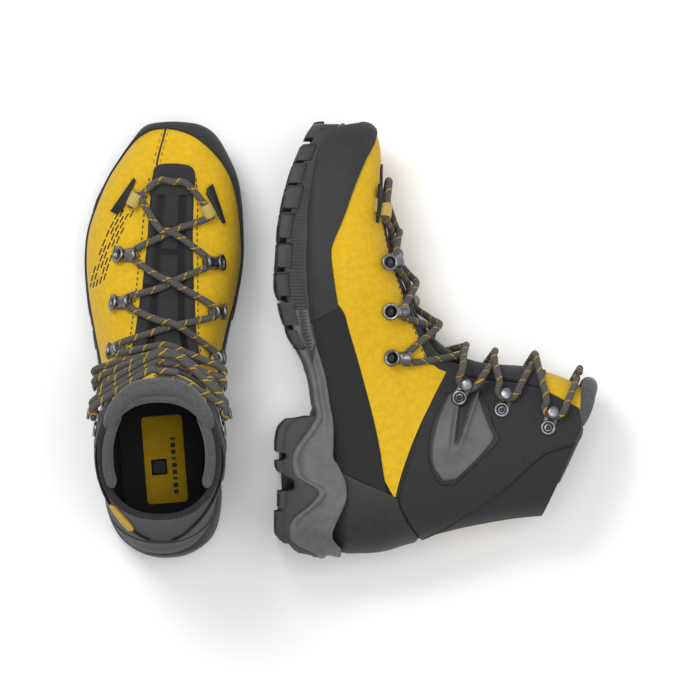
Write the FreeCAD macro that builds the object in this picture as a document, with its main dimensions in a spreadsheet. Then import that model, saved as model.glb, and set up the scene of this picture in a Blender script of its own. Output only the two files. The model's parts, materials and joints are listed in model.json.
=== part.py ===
import FreeCAD, Part
import math
import os

# A pair of laced mountaineering boots. The left boot stands on its lugs. The right boot lies on its
# lateral side with its sole towards the left boot. Both toes point along +Y.
#
# Each boot is designed in its own frame: x is 0 on the centre line and positive on the medial side,
# y runs from the heel (0) to the toe, z is 0 at the tips of the lugs. The right boot is the mirror image.

V = FreeCAD.Vector
doc = FreeCAD.newDocument("mountaineering_boots")

# ---------------------------------------------------------------- driving dimensions (mm, degrees)

DIMENSIONS = {
    "boot_length": 300.0,
    "boot_height": 220.0,
    "ball_width": 104.0,
    "skin_thick": 2.3,
    "lining_thick": 2.7,
    "cuff_padding": 8.0,
    "rand_thick": 1.7,
    "insert_thick": 2.4,
    "tongue_proud": 0.8,
    "tongue_thick": 5.0,
    "panel_gap": 0.3,
    "half_span": 80.0,
    "lace_dia": 4.5,
    "lace_clear": 0.5,
    "hook_ring": 4.6,
    "hook_plate": 1.0,
    "hook_reach": 9.5,
    "tunnel_bore": 2.9,
    "tunnel_wall": 1.1,
    "tunnel_long": 8.0,
    "head_radius": 4.1,
    "rivet_shank": 1.5,
    "rivet_cup": 3.3,
    "rivet_deep": 2.0,
    "webbing_thick": 0.9,
    "footbed_thick": 5.0,
    "board_thick": 2.4,
    "shank_thick": 1.4,
    "label_thick": 0.5,
    "pivot_height": 125.0,
    "pivot_back": 80.0,
    "flex_forward": 9.0,
    "flex_back": 3.0,
    "pair_gap": 24.0,
    "lying_tilt": 1.6,
}

sheet = doc.addObject("Spreadsheet::Sheet", "sizes")
for row, (alias, value) in enumerate(DIMENSIONS.items(), start=1):
    sheet.set(f"A{row}", alias)
    sheet.set(f"B{row}", str(value))
    sheet.setAlias(f"B{row}", alias)
doc.recompute()


def size(alias):
    return float(sheet.get(alias))


# The outlines below are drawn for a boot 300 long, 220 high and 104 wide at the ball.
SCALE_X = size("ball_width") / 104.0
SCALE_Y = size("boot_length") / 300.0
SCALE_Z = size("boot_height") / 220.0

# ---------------------------------------------------------------- the upper as a tube of fanned sections

# Each section runs from the sole or heel (bottom) to the instep or shin (top). Its columns are
# bottom y, z; top y, z; centre x; half width; where it is widest, as a share of the way up; the
# squareness of its upper and lower halves; and how far it moves forward when the skin is offset.
SECTIONS = [
    (298.5, 45, 299.8, 57, 8.5, 9.0, 0.40, 2.0, 2.0, 1.00),
    (296.5, 37, 298.8, 63.5, 8.5, 17.0, 0.36, 2.2, 2.4, 0.90),
    (293.0, 31, 295.8, 67.8, 9.5, 23.0, 0.32, 2.4, 2.8, 0.70),
    (287.0, 27.5, 290.0, 71.0, 10.0, 28.5, 0.28, 2.5, 3.2, 0.45),
    (277.0, 24.5, 280.0, 73.0, 9.2, 34.3, 0.25, 2.6, 3.6, 0.20),
    (263.0, 22, 265.0, 73.0, 7.4, 41.0, 0.23, 2.8, 4.0, 0.08),
    (246.0, 20, 248.0, 73.2, 4.6, 45.3, 0.22, 2.9, 4.0, 0.0),
    (225.0, 18.5, 228.0, 75.8, 1.5, 49.0, 0.22, 2.9, 4.0, 0.0),
    (203.0, 18, 208.0, 80.5, 0.6, 50.0, 0.22, 2.9, 4.0, 0.0),
    (178.0, 19, 187.0, 88.5, -0.2, 48.0, 0.20, 2.8, 4.0, 0.0),
    (150.0, 22, 168.0, 97.5, -0.8, 44.5, 0.20, 2.7, 3.8, 0.0),
    (118.0, 28, 153.0, 108.0, -0.6, 40.5, 0.22, 2.7, 3.6, 0.0),
    (84.0, 33, 143.5, 119.0, -0.3, 38.5, 0.28, 2.6, 3.4, 0.0),
    (50.0, 35, 138.0, 128.5, 0.0, 38.3, 0.34, 2.5, 3.2, 0.0),
    (22.0, 35, 135.5, 137.0, 0.2, 38.5, 0.40, 2.4, 2.8, 0.0),
    (6.0, 45, 134.0, 144.0, 0.4, 39.0, 0.45, 2.3, 2.4, 0.0),
    (4.2, 62, 133.2, 150.0, 0.5, 39.5, 0.48, 2.3, 2.3, 0.0),
    (5.5, 77, 132.8, 155.0, 0.6, 40.0, 0.48, 2.3, 2.3, 0.0),
    (10.0, 92, 132.4, 161.0, 0.8, 40.5, 0.48, 2.3, 2.3, 0.0),
    (14.0, 108, 132.0, 168.0, 1.0, 41.3, 0.48, 2.3, 2.3, 0.0),
    (19.0, 128, 131.0, 177.0, 1.2, 42.3, 0.48, 2.3, 2.3, 0.0),
    (22.5, 146, 129.0, 187.0, 1.3, 43.0, 0.48, 2.3, 2.3, 0.0),
    (25.5, 164, 125.5, 198.0, 1.4, 43.3, 0.48, 2.3, 2.3, 0.0),
    (27.0, 178, 121.0, 208.0, 1.4, 43.0, 0.48, 2.3, 2.3, 0.0),
    (28.0, 192, 115.0, 221.0, 1.4, 42.5, 0.48, 2.3, 2.3, 0.0),
    (29.0, 206, 109.0, 236.0, 1.4, 42.0, 0.48, 2.3, 2.3, 0.0),
]


def section_at(position):
    """The section's numbers at a whole or part station, smoothly between the drawn ones."""
    last = len(SECTIONS) - 1
    first = max(0, min(int(math.floor(position)), last - 1))
    t = position - first
    before, after = max(first - 1, 0), min(first + 2, last)
    mixed = []
    for column in range(10):
        p0, p1, p2, p3 = (SECTIONS[k][column] for k in (before, first, first + 1, after))
        m1, m2 = (p2 - p0) / 2, (p3 - p1) / 2
        mixed.append(
            (2 * t**3 - 3 * t**2 + 1) * p1
            + (t**3 - 2 * t**2 + t) * m1
            + (-2 * t**3 + 3 * t**2) * p2
            + (t**3 - t**2) * m2
        )
    return mixed


def skin_point(position, angle, offset=0.0):
    """A point of the upper's skin: angle is 90 at the top of a section, 0 medial, 180 lateral, -90 below."""
    by, bz, ty, tz, cx, half, widest, top_n, low_n, forward = section_at(position)
    by, ty, bz, tz = by * SCALE_Y, ty * SCALE_Y, bz * SCALE_Z, tz * SCALE_Z
    long = math.hypot(ty - by, tz - bz)
    uy, uz = (ty - by) / long, (tz - bz) / long
    c, s = math.cos(math.radians(angle)), math.sin(math.radians(angle))
    power = 2.0 / (top_n if s >= 0 else low_n)
    across = math.copysign(abs(c) ** power, c) * (half * SCALE_X + offset)
    up_room, low_room = long * (1 - widest) + offset, long * widest + offset
    along = abs(s) ** power * (up_room if s >= 0 else -low_room)
    cy, cz = by + uy * long * widest, bz + uz * long * widest
    return V(cx * SCALE_X + across, cy + uy * along + forward * offset, cz + uz * along)


def skin_normal(position, angle, offset=0.0):
    step = 0.02
    ds = skin_point(position + step, angle, offset) - skin_point(position - step, angle, offset)
    da = skin_point(position, angle + 1, offset) - skin_point(position, angle - 1, offset)
    return ds.cross(da).normalize() * -1


def lifted(position, angle, lift):
    """A point that stands off the skin by lift along its normal."""
    return skin_point(position, angle) + skin_normal(position, angle) * lift


def nearest_skin(target, weights=(1.0, 1.0, 1.0), side=None):
    """The skin coordinates nearest a point. A weight of 0 leaves that axis free."""

    def miss(position, angle):
        p = skin_point(position, angle)
        if (side is not None and p.x * side < 0) or (side is None and not 12 < angle < 168):
            return 1e9
        return sum(w * (a - b) ** 2 for w, a, b in zip(weights, p, target))

    best = min(
        ((miss(k * 0.5, a), k * 0.5, a) for k in range(2, 49) for a in range(-60, 241, 5)),
    )
    reach_s, reach_a = 0.5, 5.0
    while reach_a > 0.02:
        _, s0, a0 = best
        tries = [
            (miss(s0 + i * reach_s / 2, a0 + j * reach_a / 2), s0 + i * reach_s / 2, a0 + j * reach_a / 2)
            for i in (-1, 0, 1)
            for j in (-1, 0, 1)
        ]
        best = min(tries)
        if best[1:] == (s0, a0):
            reach_s, reach_a = reach_s / 2, reach_a / 2
    return best[1], best[2]


# ---------------------------------------------------------------- places on the skin

# A place on the skin is (station, girth). Girth is 0 at the bottom or back of a section, 1 at its top,
# counted by length along the medial side, and carries on past 1 down the lateral side to 2.
GIRTH_STEPS = 48
girth_tables = {}


def girth_table(station):
    key = round(station, 2)
    if key not in girth_tables:
        angles = [-90 + 180.0 * k / GIRTH_STEPS for k in range(GIRTH_STEPS + 1)]
        points = [skin_point(key, a) for a in angles]
        lengths = [0.0]
        for p, q in zip(points, points[1:]):
            lengths.append(lengths[-1] + (q - p).Length)
        girth_tables[key] = (angles, [v / lengths[-1] for v in lengths])
    return girth_tables[key]


def angle_at(station, girth):
    """The section angle at a girth, for any girth from -1 to 3."""
    turn, sign = 0.0, 1.0
    share = girth
    if girth > 1:
        share, sign, turn = 2 - girth, -1.0, 180.0
    elif girth < 0:
        share, sign, turn = -girth, -1.0, -180.0
    share = min(max(share, 0.0), 1.0)
    angles, shares = girth_table(station)
    k = 0
    while k < GIRTH_STEPS - 1 and shares[k + 1] < share:
        k += 1
    part_way = (share - shares[k]) / (shares[k + 1] - shares[k])
    return turn + sign * (angles[k] + part_way * (angles[k + 1] - angles[k]))


def girth_point(station, girth, offset=0.0):
    return skin_point(station, angle_at(station, girth), offset)


def place_of(y, z):
    """The place on the medial skin seen at (y, z) in the side view."""
    low, high = 0.0, len(SECTIONS) - 1.0

    def ahead(station):
        by, bz, ty, tz = section_at(station)[:4]
        return (ty - by) * (z - bz) - (tz - bz) * (y - by)

    for _ in range(34):
        middle = (low + high) / 2
        if ahead(middle) < 0:
            high = middle
        else:
            low = middle
    by, bz, ty, tz, _, _, widest, top_n, low_n, _ = section_at(low)
    share = ((ty - by) * (y - by) + (tz - bz) * (z - bz)) / ((ty - by) ** 2 + (tz - bz) ** 2)
    share = min(max(share, 0.0), 1.0)
    if share >= widest:
        angle = math.degrees(math.asin(((share - widest) / (1 - widest)) ** (top_n / 2)))
    else:
        angle = -math.degrees(math.asin(((widest - share) / widest) ** (low_n / 2)))
    angles, shares = girth_table(low)
    at = (angle + 90) / 180 * GIRTH_STEPS
    k = min(int(at), GIRTH_STEPS - 1)
    return low, shares[k] + (at - k) * (shares[k + 1] - shares[k])


def smooth_line(points, steps=5):
    """The points with more put between them along a smooth line."""
    dense = [points[0]]
    for k in range(len(points) - 1):
        p0, p1, p2 = points[max(k - 1, 0)], points[k], points[k + 1]
        p3 = points[min(k + 2, len(points) - 1)]
        for step in range(1, steps + 1):
            t = step / steps
            squared, cubed = t**2, t**3
            weights = (2 * squared - t - cubed, 2 - 5 * squared + 3 * cubed, t + 4 * squared - 3 * cubed,
                       cubed - squared)
            dense.append(tuple(sum(w * v for w, v in zip(weights, values)) / 2
                               for values in zip(p0, p1, p2, p3)))
    return dense


def medial_line(points):
    return [place_of(y, z) for y, z in smooth_line(points)]


def lateral_line(points):
    return [(station, 2 - girth) for station, girth in medial_line(points)]


def round_back(points, back=None):
    """A side-view line that ends at the back of the boot, carried round to the other side."""
    near = medial_line(points)
    end = near[-1][0] if back is None else back
    return near + [(end, 0.0)] + [(station, -girth) for station, girth in near[::-1]]


def over_top(points, top=None):
    """A side-view line that ends at the top of the boot, carried over to the other side."""
    near = medial_line(points)
    end = near[-1][0] if top is None else top
    return near + [(end, 1.0)] + [(station, 2 - girth) for station, girth in near[::-1]]


def evenly(line, count):
    """Places spaced evenly by length along a line of places."""
    points = [girth_point(*place) for place in line]
    lengths = [0.0]
    for p, q in zip(points, points[1:]):
        lengths.append(lengths[-1] + (q - p).Length)
    spaced, k = [], 0
    for step in range(count):
        want = lengths[-1] * step / (count - 1)
        while k < len(lengths) - 2 and lengths[k + 1] < want:
            k += 1
        t = (want - lengths[k]) / max(lengths[k + 1] - lengths[k], 1e-9)
        spaced.append(tuple(a + t * (b - a) for a, b in zip(line[k], line[k + 1])))
    return spaced


def between(one, two, t):
    return tuple(a + t * (b - a) for a, b in zip(one, two))


def shell_patch(name, low, high, inner, outer, along=25, across=9, gap=0.2):
    """A curved panel between two lines on the skin, from inner to outer offset, gap short of its edges."""
    low, high = evenly(low, 101), evenly(high, 101)
    long = sum((girth_point(*low[k + 1]) - girth_point(*low[k])).Length for k in range(100))
    long = max(long, sum((girth_point(*high[k + 1]) - girth_point(*high[k])).Length for k in range(100)))
    places = []
    for i in range(along):
        u = gap / long + (1 - 2 * gap / long) * i / (along - 1)
        k = min(int(u * 100), 99)
        start, end = between(low[k], low[k + 1], u * 100 - k), between(high[k], high[k + 1], u * 100 - k)
        wide = (girth_point(*end) - girth_point(*start)).Length
        trim = min(gap / max(wide, 0.01), 0.4)
        places.append([between(start, end, trim + (1 - 2 * trim) * j / (across - 1)) for j in range(across)])
    faces = []
    for offset in (inner, outer):
        surface = Part.BSplineSurface()
        surface.interpolate([[girth_point(*place, offset) for place in row] for row in places])
        faces.append(surface.toShape())
    walls = [Part.makeRuledSurface(one, other) for one, other in zip(faces[0].Edges, faces[1].Edges)]
    shell = Part.Shell(faces + walls)
    shell.sewShape()
    solid = Part.Solid(shell)
    if solid.Volume < 0:
        solid.reverse()
    feature = doc.addObject("Part::Feature", name)
    feature.Shape = solid
    return feature


SKIN, LINING, PADDING = size("skin_thick"), size("lining_thick"), size("cuff_padding")
GAP = size("panel_gap")

# ---------------------------------------------------------------- outlines and prisms


def edges_of(runs, lift):
    """Edges through runs of points: a line through two and a curve through more, each run from the last."""
    edges = []
    for points in runs:
        corners = [lift(p) for p in points]
        if len(corners) == 2:
            edges.append(Part.LineSegment(*corners).toShape())
        else:
            curve = Part.BSplineCurve()
            curve.interpolate(corners)
            edges.append(curve.toShape())
    return edges


def in_side_view(p):
    return V(0, p[0] * SCALE_Y, p[1] * SCALE_Z)


def in_plan_view(p):
    return V(p[0] * SCALE_X, p[1] * SCALE_Y, 0)


def joined(*runs):
    """Runs where each new one is given without its first point, closed with a line back to the start."""
    closed = [list(runs[0])]
    for run in runs[1:]:
        closed.append([closed[-1][-1]] + list(run))
    if closed[-1][-1] != closed[0][0]:
        closed.append([closed[-1][-1], closed[0][0]])
    return closed


def outline(name, runs, lift):
    feature = doc.addObject("Part::Feature", name + "_outline")
    feature.Shape = Part.Wire(edges_of(runs, lift))
    return feature


def side_prism(name, runs, side="both"):
    """A side-view outline carried across the boot, or from the centre line to one side only."""
    prism = doc.addObject("Part::Extrusion", name)
    prism.Base = outline(name, runs, in_side_view)
    prism.DirMode = "Custom"
    prism.Dir = V(1, 0, 0)
    prism.Solid = True
    if side != "lateral":
        prism.setExpression("LengthFwd", "sizes.half_span")
    if side != "medial":
        prism.setExpression("LengthRev", "sizes.half_span")
    return prism


def plan_prism(name, runs, low, high):
    prism = doc.addObject("Part::Extrusion", name)
    prism.Base = outline(name, runs, in_plan_view)
    prism.DirMode = "Custom"
    prism.Dir = V(0, 0, 1)
    prism.Solid = True
    prism.LengthFwd = high * SCALE_Z
    prism.LengthRev = -low * SCALE_Z
    return prism


def common(name, *shapes):
    both = shapes[0]
    for k, other in enumerate(shapes[1:]):
        step = doc.addObject("Part::Common", f"{name}_common_{k}")
        step.Base, step.Tool = both, other
        both = step
    return both


def cut(name, base, *tools):
    for k, tool in enumerate(tools):
        step = doc.addObject("Part::Cut", f"{name}_cut_{k}")
        step.Base, step.Tool = base, tool
        base = step
    return base


# Lines that two panels share, in the side view (y, z).
SOLE_LINE = [(306, 52), (298.6, 47.4), (292.4, 40.5), (285.6, 33.6), (275, 30), (260, 27.5), (244, 25),
             (217, 21.6), (189, 21.6),
             (162, 25.4), (134, 32.3), (107, 37.8), (80, 40), (69, 40.2)]
HEEL_SEAT = [(69, 40.2), (50, 41.8), (35, 42), (20, 41.8), (9, 43), (3, 45.4), (-6, 46)]
GREY_FOOT = [(-6, 29), (2, 28.8), (7.5, 17.8), (12.4, 10.3), (19, 9), (26.8, 11), (38.4, 24.7), (46.7, 28.8)]
GREY_WAIST = [(46.7, 28.8), (53.5, 18), (59, 12), (73, 11.7), (90, 23.3), (98.9, 27.5)]
GREY_ARCH = [(98.9, 27.5), (107, 26), (121, 24), (134.6, 20), (145, 15), (158.6, 11.7), (186, 8.2),
             (200, 8.2), (217, 9.6),
             (234, 11.7), (248, 15), (268, 22), (284, 27)]
TOE_FOOT = [(297.5, 49.5), (292.4, 42.2), (285.6, 35.4), (275, 31.8), (260, 29.2), (244, 26.8), (217, 23.4)]
WAIST_FOOT = [(192, 23.4), (176, 24.8), (162, 27), (134, 33.8), (107, 39.2), (84, 41.4), (67, 41.8)]
HEEL_FOOT = [(65, 42), (50, 43.2), (35, 43.4), (20, 43.2), (10, 44.6), (6.5, 46)]
VAMP_REAR = [(195, 25.5), (178, 38), (165, 46.2), (155, 50.8), (126, 59.7), (90, 68.6), (56, 74.8),
             (44.6, 77.4)]
QUARTER_TOP = [(189.4, 27.2), (175.6, 37), (163, 45), (153.6, 49.8), (125, 59.4), (90, 68.2), (58, 74.2),
               (46.5, 76.4)]
HEEL_TOP = [(41, 84), (33, 86.5), (22.7, 92), (13.5, 98.5)]
WRAP_FRONT = [(131, 118.8), (107, 105.7), (79.6, 95.4), (55.6, 88.6), (41, 84.4)]
REAR_CUFF_LINE = [(22.6, 115.4), (25.4, 122.6), (46.6, 153.6), (61.8, 171), (73.5, 186), (79, 205.6)]
COLLAR_LINE = [(105, 207), (92, 210.5), (79, 205.4), (60, 197.5), (40, 189), (29, 184)]
CUFF_FRONT = [(119.5, 137.5), (121.5, 150), (121.5, 161), (117, 182), (104, 208.8)]

PIVOT = (size("pivot_back"), size("pivot_height"))
FLEX_RELIEF = 1.2


def ray(degrees, y, lift):
    """The point at y on a line leaving the ankle pivot, degrees up from straight ahead."""
    return (y, PIVOT[1] + lift + (y - PIVOT[0]) * math.tan(math.radians(degrees)))


# The slot in front of the pivot closes as the cuff flexes forward, the one behind as it flexes back.
SLOT_LOW = 4.0
SLOT_HIGH = SLOT_LOW + size("flex_forward") + 1.6
REAR_LOW = 17.0
REAR_HIGH = REAR_LOW - size("flex_back") - 1.6
FOOT_SIDE = [ray(SLOT_LOW, y, -FLEX_RELIEF) for y in (128, 112, 96, 82)]
FOOT_SIDE += [ray(REAR_LOW, y, -FLEX_RELIEF) for y in (76, 55, 35, 14.5)]
CUFF_SIDE = [ray(SLOT_HIGH, y, FLEX_RELIEF) for y in (118, 106, 94, 83)]
CUFF_SIDE += [ray(REAR_HIGH, y, FLEX_RELIEF) for y in (77, 58, 38, 19)]

# ---------------------------------------------------------------- the upper's panels

parts = {}


def part(node, feature):
    parts[node] = feature
    return feature


def plan_place(x, y):
    """The place on top of the skin above a plan point."""
    station, angle = nearest_skin((x, y, 0), (1, 1, 0))
    turned = angle if angle <= 90 else 180 - angle
    angles, shares = girth_table(station)
    at = (turned + 90) / 180 * GIRTH_STEPS
    k = min(max(int(at), 0), GIRTH_STEPS - 1)
    share = shares[k] + (at - k) * (shares[k + 1] - shares[k])
    return (station, share if angle <= 90 else 2 - share)


THROAT_MEDIAL = [(20, 268.5), (22.4, 250), (21.8, 224), (22.2, 204), (23.4, 177), (24.8, 156), (27, 143),
                 (28.4, 136)]
THROAT_LATERAL = [(-3, 269.5), (-7, 250), (-8.5, 224), (-10.5, 204), (-13.8, 177), (-17, 156), (-20, 143),
                  (-22.5, 134.5)]
TOE_TIP, THROAT_FRONT = (0.35, 1.0), (plan_place(8.5, 270)[0], 1.0)
throat_medial = [plan_place(*p) for p in smooth_line(THROAT_MEDIAL, 2)]
throat_lateral = [plan_place(*p) for p in smooth_line(THROAT_LATERAL, 2)]

THROAT_TOP = (131, 118.8)
QUARTER_GAP = 1.1
medial_mouth = [THROAT_FRONT] + throat_medial + medial_line([THROAT_TOP])
lateral_mouth = [THROAT_FRONT] + throat_lateral + lateral_line([THROAT_TOP])
part("medial_vamp", shell_patch("medial_vamp", [TOE_TIP] + medial_line(TOE_FOOT + VAMP_REAR),
                                medial_mouth, -SKIN, 0, 37, 9))
part("lateral_vamp", shell_patch("lateral_vamp", [TOE_TIP] + lateral_line(TOE_FOOT + VAMP_REAR),
                                 lateral_mouth, -SKIN, 0, 37, 9))
part("medial_quarter", shell_patch("medial_quarter", medial_line(WAIST_FOOT), medial_line(QUARTER_TOP),
                                   -SKIN, 0, 13, 4, QUARTER_GAP))
part("lateral_quarter", shell_patch("lateral_quarter", lateral_line(WAIST_FOOT), lateral_line(QUARTER_TOP),
                                    -SKIN, 0, 13, 4, QUARTER_GAP))
part("heel_counter", shell_patch("heel_counter", round_back(HEEL_FOOT), round_back(HEEL_TOP),
                                 -SKIN, 0, 33, 7))
part("ankle_wrap", shell_patch("ankle_wrap", round_back(WRAP_FRONT + HEEL_TOP[1:]), round_back(FOOT_SIDE),
                               -SKIN, 0, 49, 9))
below_cuff = side_prism("below_cuff", joined(
    [ray(REAR_HIGH, 0, FLEX_RELIEF), ray(REAR_HIGH, 80, FLEX_RELIEF)],
    [ray(SLOT_HIGH, 150, FLEX_RELIEF)], [(150, 60)], [(0, 60)]))
for side, line in (("medial", medial_line), ("lateral", lateral_line)):
    node = side + "_cuff_panel"
    blank = shell_patch(node + "_blank", line(REAR_CUFF_LINE), line(CUFF_FRONT), -SKIN, 0, 21, 17, 0.6)
    part(node, cut(node, blank, below_cuff))
part("rear_cuff", shell_patch("rear_cuff", round_back([(19.2, 114.4), (17.2, 113.6)]),
                              round_back(COLLAR_LINE[2:]), -SKIN, 0, 25, 21, 0.4))

RAND_FOOT = [(160, 29.6), (189, 25.4), (217, 25.2), (244, 28.6), (260, 31), (275, 33.6), (285.6, 37),
             (292.4, 43), (297, 50)]
RAND_TOP = [(172, 43), (190, 40), (208, 37.8), (217, 39), (234, 46), (257, 54.2), (275, 61.8), (287, 68.5)]
RAND_LOW_TOP = [(170, 38), (190, 35), (208, 34), (225, 35.5), (245, 40), (262, 46), (278, 55.5), (288, 66)]
rand_foot = over_top(RAND_FOOT, 0.1)
rand_top = medial_line(RAND_TOP) + [(3.1, 1.0)] + lateral_line(RAND_LOW_TOP)[::-1]
part("toe_rand", shell_patch("toe_rand", rand_foot, rand_top, GAP + 0.2, GAP + size("rand_thick"), 33, 4))

# ---------------------------------------------------------------- linings and tongue

INNER = -SKIN - GAP
LINING_TOP = INNER - 0.95
lining_halves = []
for side, line, throat in (("medial", medial_line, throat_medial),
                           ("lateral", lateral_line, throat_lateral)):
    foot = [(1.6, 1.0)] + line(TOE_FOOT[1:] + WAIST_FOOT[:5])
    mouth = [THROAT_FRONT] + throat + line([(131, 119.5)])
    lining_halves.append(shell_patch(side + "_lining", foot, mouth, LINING_TOP - LINING, LINING_TOP,
                                     37, 9, 0.4))
forefoot_lining = doc.addObject("Part::Compound", "forefoot_lining")
forefoot_lining.Links = lining_halves
part("forefoot_lining", forefoot_lining)
part("heel_lining", shell_patch("heel_lining", round_back([(104, 39.6), (84, 41.4), (67, 41.8)] + HEEL_FOOT),
                                round_back(FOOT_SIDE),
                                LINING_TOP - LINING, LINING_TOP, 49, 15, 0.4))

part("cuff_lining", shell_patch("cuff_lining", round_back(CUFF_SIDE), round_back(COLLAR_LINE),
                                INNER - PADDING, INNER, 49, 15))

PROUD = size("tongue_proud")
tongue_medial = [(s, g + 0.012) for s, g in [plan_place(19.4, 266.5)] + throat_medial[1:]]
tongue_lateral = [(s, g - 0.012) for s, g in [plan_place(-2.4, 267.5)] + throat_lateral[1:]]
part("tongue", shell_patch("tongue", tongue_medial, tongue_lateral, PROUD - size("tongue_thick"), PROUD,
                           33, 15, 0.3))

COLLAR_SIDE = [(121.4, 140), (123.4, 150), (123.6, 161), (119.2, 182), (107, 210), (102.5, 218)]
part("tongue_collar", shell_patch("tongue_collar", medial_line(COLLAR_SIDE), lateral_line(COLLAR_SIDE),
                                  -PADDING, 0, 17, 21, 0.3))

# ---------------------------------------------------------------- ankle inserts over the wrap and the cuff

INSERT_FOOT = [(53.5, 116), (62, 110.5), (72.8, 108), (93, 112), (113, 120.5)]
INSERT_TOP = [(55, 127), (68, 139.5), (81, 149.5), (90, 147), (103.7, 141), (113, 138)]
slot = doc.addObject("Part::Extrusion", "insert_slot")
slot_outline = doc.addObject("Part::Feature", "insert_slot_outline")
slot_outline.Shape = Part.Wire(edges_of(joined([(83, 125), (80, 126), (83, 127)], [(120, 133)],
                                               [(120, 127)]), in_side_view))
slot.Base = slot_outline
slot.DirMode = "Custom"
slot.Dir = V(1, 0, 0)
slot.Solid = True
slot.setExpression("LengthFwd", "sizes.half_span")
slot.setExpression("LengthRev", "sizes.half_span")
for side, line in (("medial", medial_line), ("lateral", lateral_line)):
    blank = shell_patch(side + "_insert_blank", line(INSERT_FOOT), line(INSERT_TOP), GAP,
                        GAP + size("insert_thick"), 21, 9, 0)
    part(side + "_ankle_insert", cut(side + "_ankle_insert", blank, slot))

# ---------------------------------------------------------------- sole

PLAN = joined(
    [(7.5, 300), (22, 298), (33.5, 291.5), (43, 281), (49, 266.5), (52, 249), (52.6, 228), (52.6, 205),
     (49.8, 182), (44.5, 158), (40.8, 132), (39.6, 108), (39.8, 80), (40.4, 52), (39.8, 32), (34, 14),
     (20, 3.2), (3, 0), (-14, 3.2), (-29, 14), (-37.5, 32), (-39.6, 52), (-40.2, 80), (-41.4, 108),
     (-44, 135), (-48, 160), (-51, 185), (-51.6, 205), (-50, 225), (-46.5, 243), (-39, 259), (-30, 273),
     (-19, 286), (-8, 296), (7.5, 300)])
sole_plan = plan_prism("sole_plan", PLAN, -2, 60)

midsole_band = side_prism("midsole_band", joined(SOLE_LINE, HEEL_SEAT[1:], [(-6, 29)], GREY_FOOT[1:],
                                                 GREY_WAIST[1:],
                                                 GREY_ARCH[1:], [(306, 36)]))

# A steel shank lies in a pocket in the top of the midsole, under the board.
SHANK, SHANK_HALF = size("shank_thick"), 12.0
SHANK_LOW = [(165, 26.35), (150, 28.6), (118, 34.8), (84, 39.4), (40, 41.1)]
pocket_floor = [(y, z - 0.1) for y, z in SHANK_LOW]
pocket_side = side_prism("pocket_side", joined(
    [(167, 26.0), pocket_floor[1]], *[[point] for point in pocket_floor[2:-1]], [(38, 41.06)], [(38, 60)],
    [(167, 60)]))
edge = SHANK_HALF + 0.3
pocket_plan = plan_prism("pocket_plan", joined([(-edge, 30), (edge, 30)], [(edge, 170)], [(-edge, 170)]),
                         -2, 80)
shank_pocket = common("shank_pocket", pocket_side, pocket_plan)
midsole = common("midsole", midsole_band, sole_plan)
part("midsole", cut("midsole", midsole, shank_pocket))

forefoot_band = side_prism("forefoot_band", joined(
    GREY_ARCH[3:], [(306, 36)],
    [(306, 26)], [(299, 26), (292, 21.5), (280, 15.5), (265, 9.8), (250, 5.0), (233, 1.8), (217, 0.4),
                  (198, 0), (186, 0)],
    [(186, 0), (172, 1.6), (158, 6), (146, 12.5), (138, 16.5)][1:]))
LUG_DEEP = 4.2
CHANNELS = [(272, 5.0), (252, 5.0), (231, 5.5), (208, 5.5), (186, 5.5), (166, 5.0)]


def channel(name, y, width, low, high, x_from, x_to, slant):
    """A groove across the tread between two lugs, slanted in plan."""
    box = doc.addObject("Part::Box", name)
    box.Length, box.Width, box.Height = x_to - x_from, width, high - low
    box.Placement = FreeCAD.Placement(V(x_from, y - width / 2, low), FreeCAD.Rotation(V(0, 0, 1), slant),
                                      V(-x_from, 0, 0))
    return box


def tread_height(y):
    """The height of the lug tips over the length of the forefoot."""
    points = [(300, 26), (280, 15.5), (250, 5.0), (217, 0.4), (186, 0), (158, 6), (140, 15)]
    for (y1, z1), (y2, z2) in zip(points, points[1:]):
        if y2 <= y <= y1:
            return z2 + (z1 - z2) * (y - y2) / (y1 - y2)
    return 0.0


forefoot = common("forefoot_outsole", forefoot_band, sole_plan)
grooves = []
for number, (y, width) in enumerate(CHANNELS):
    low, high = tread_height(y) - 6, tread_height(y) + LUG_DEEP
    grooves.append(channel(f"channel_medial_{number}", y, width, low, high, 8, 70, 12))
    grooves.append(channel(f"channel_lateral_{number}", y, width, low, high, -70, -6, -12))
    if number + 1 < len(CHANNELS):
        middle = (y + CHANNELS[number + 1][0]) / 2
        grooves.append(channel(f"channel_middle_{number}", middle, width, tread_height(middle) - 6,
                               tread_height(middle) + LUG_DEEP, -14, 16, 0))
tread_grooves = doc.addObject("Part::Compound", "tread_grooves")
tread_grooves.Links = grooves
part("forefoot_outsole", cut("forefoot_outsole", forefoot, tread_grooves))

heel_band = side_prism("heel_band", joined(
    GREY_FOOT[1:], GREY_WAIST[1:], [(97.5, 18.5)], [(96, 7.6)], [(89, 2), (83, 0)], [(60, 0)], [(53, 8.2)],
    [(47, 9.6)],
    [(47, 2.7)], [(34.3, 2.7)], [(33, 0)], [(20, 0)], [(14, 1.4), (8, 6.2), (3, 12)], [(1, 24.7)]))
heel_notch = [channel("heel_notch_medial", 50.5, 5.0, -4, 22, 26, 60, 0),
              channel("heel_notch_lateral", 50.5, 5.0, -4, 22, -60, -26, 0),
              channel("heel_slot", 72, 4.0, -4, 4, -60, 60, 0),
              channel("heel_centre", 24, 5.0, -4, 4, -16, 16, 0)]
heel_grooves = doc.addObject("Part::Compound", "heel_grooves")
heel_grooves.Links = heel_notch
part("heel_outsole", cut("heel_outsole", common("heel_outsole", heel_band, sole_plan), heel_grooves))

# ---------------------------------------------------------------- inside the boot

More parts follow.
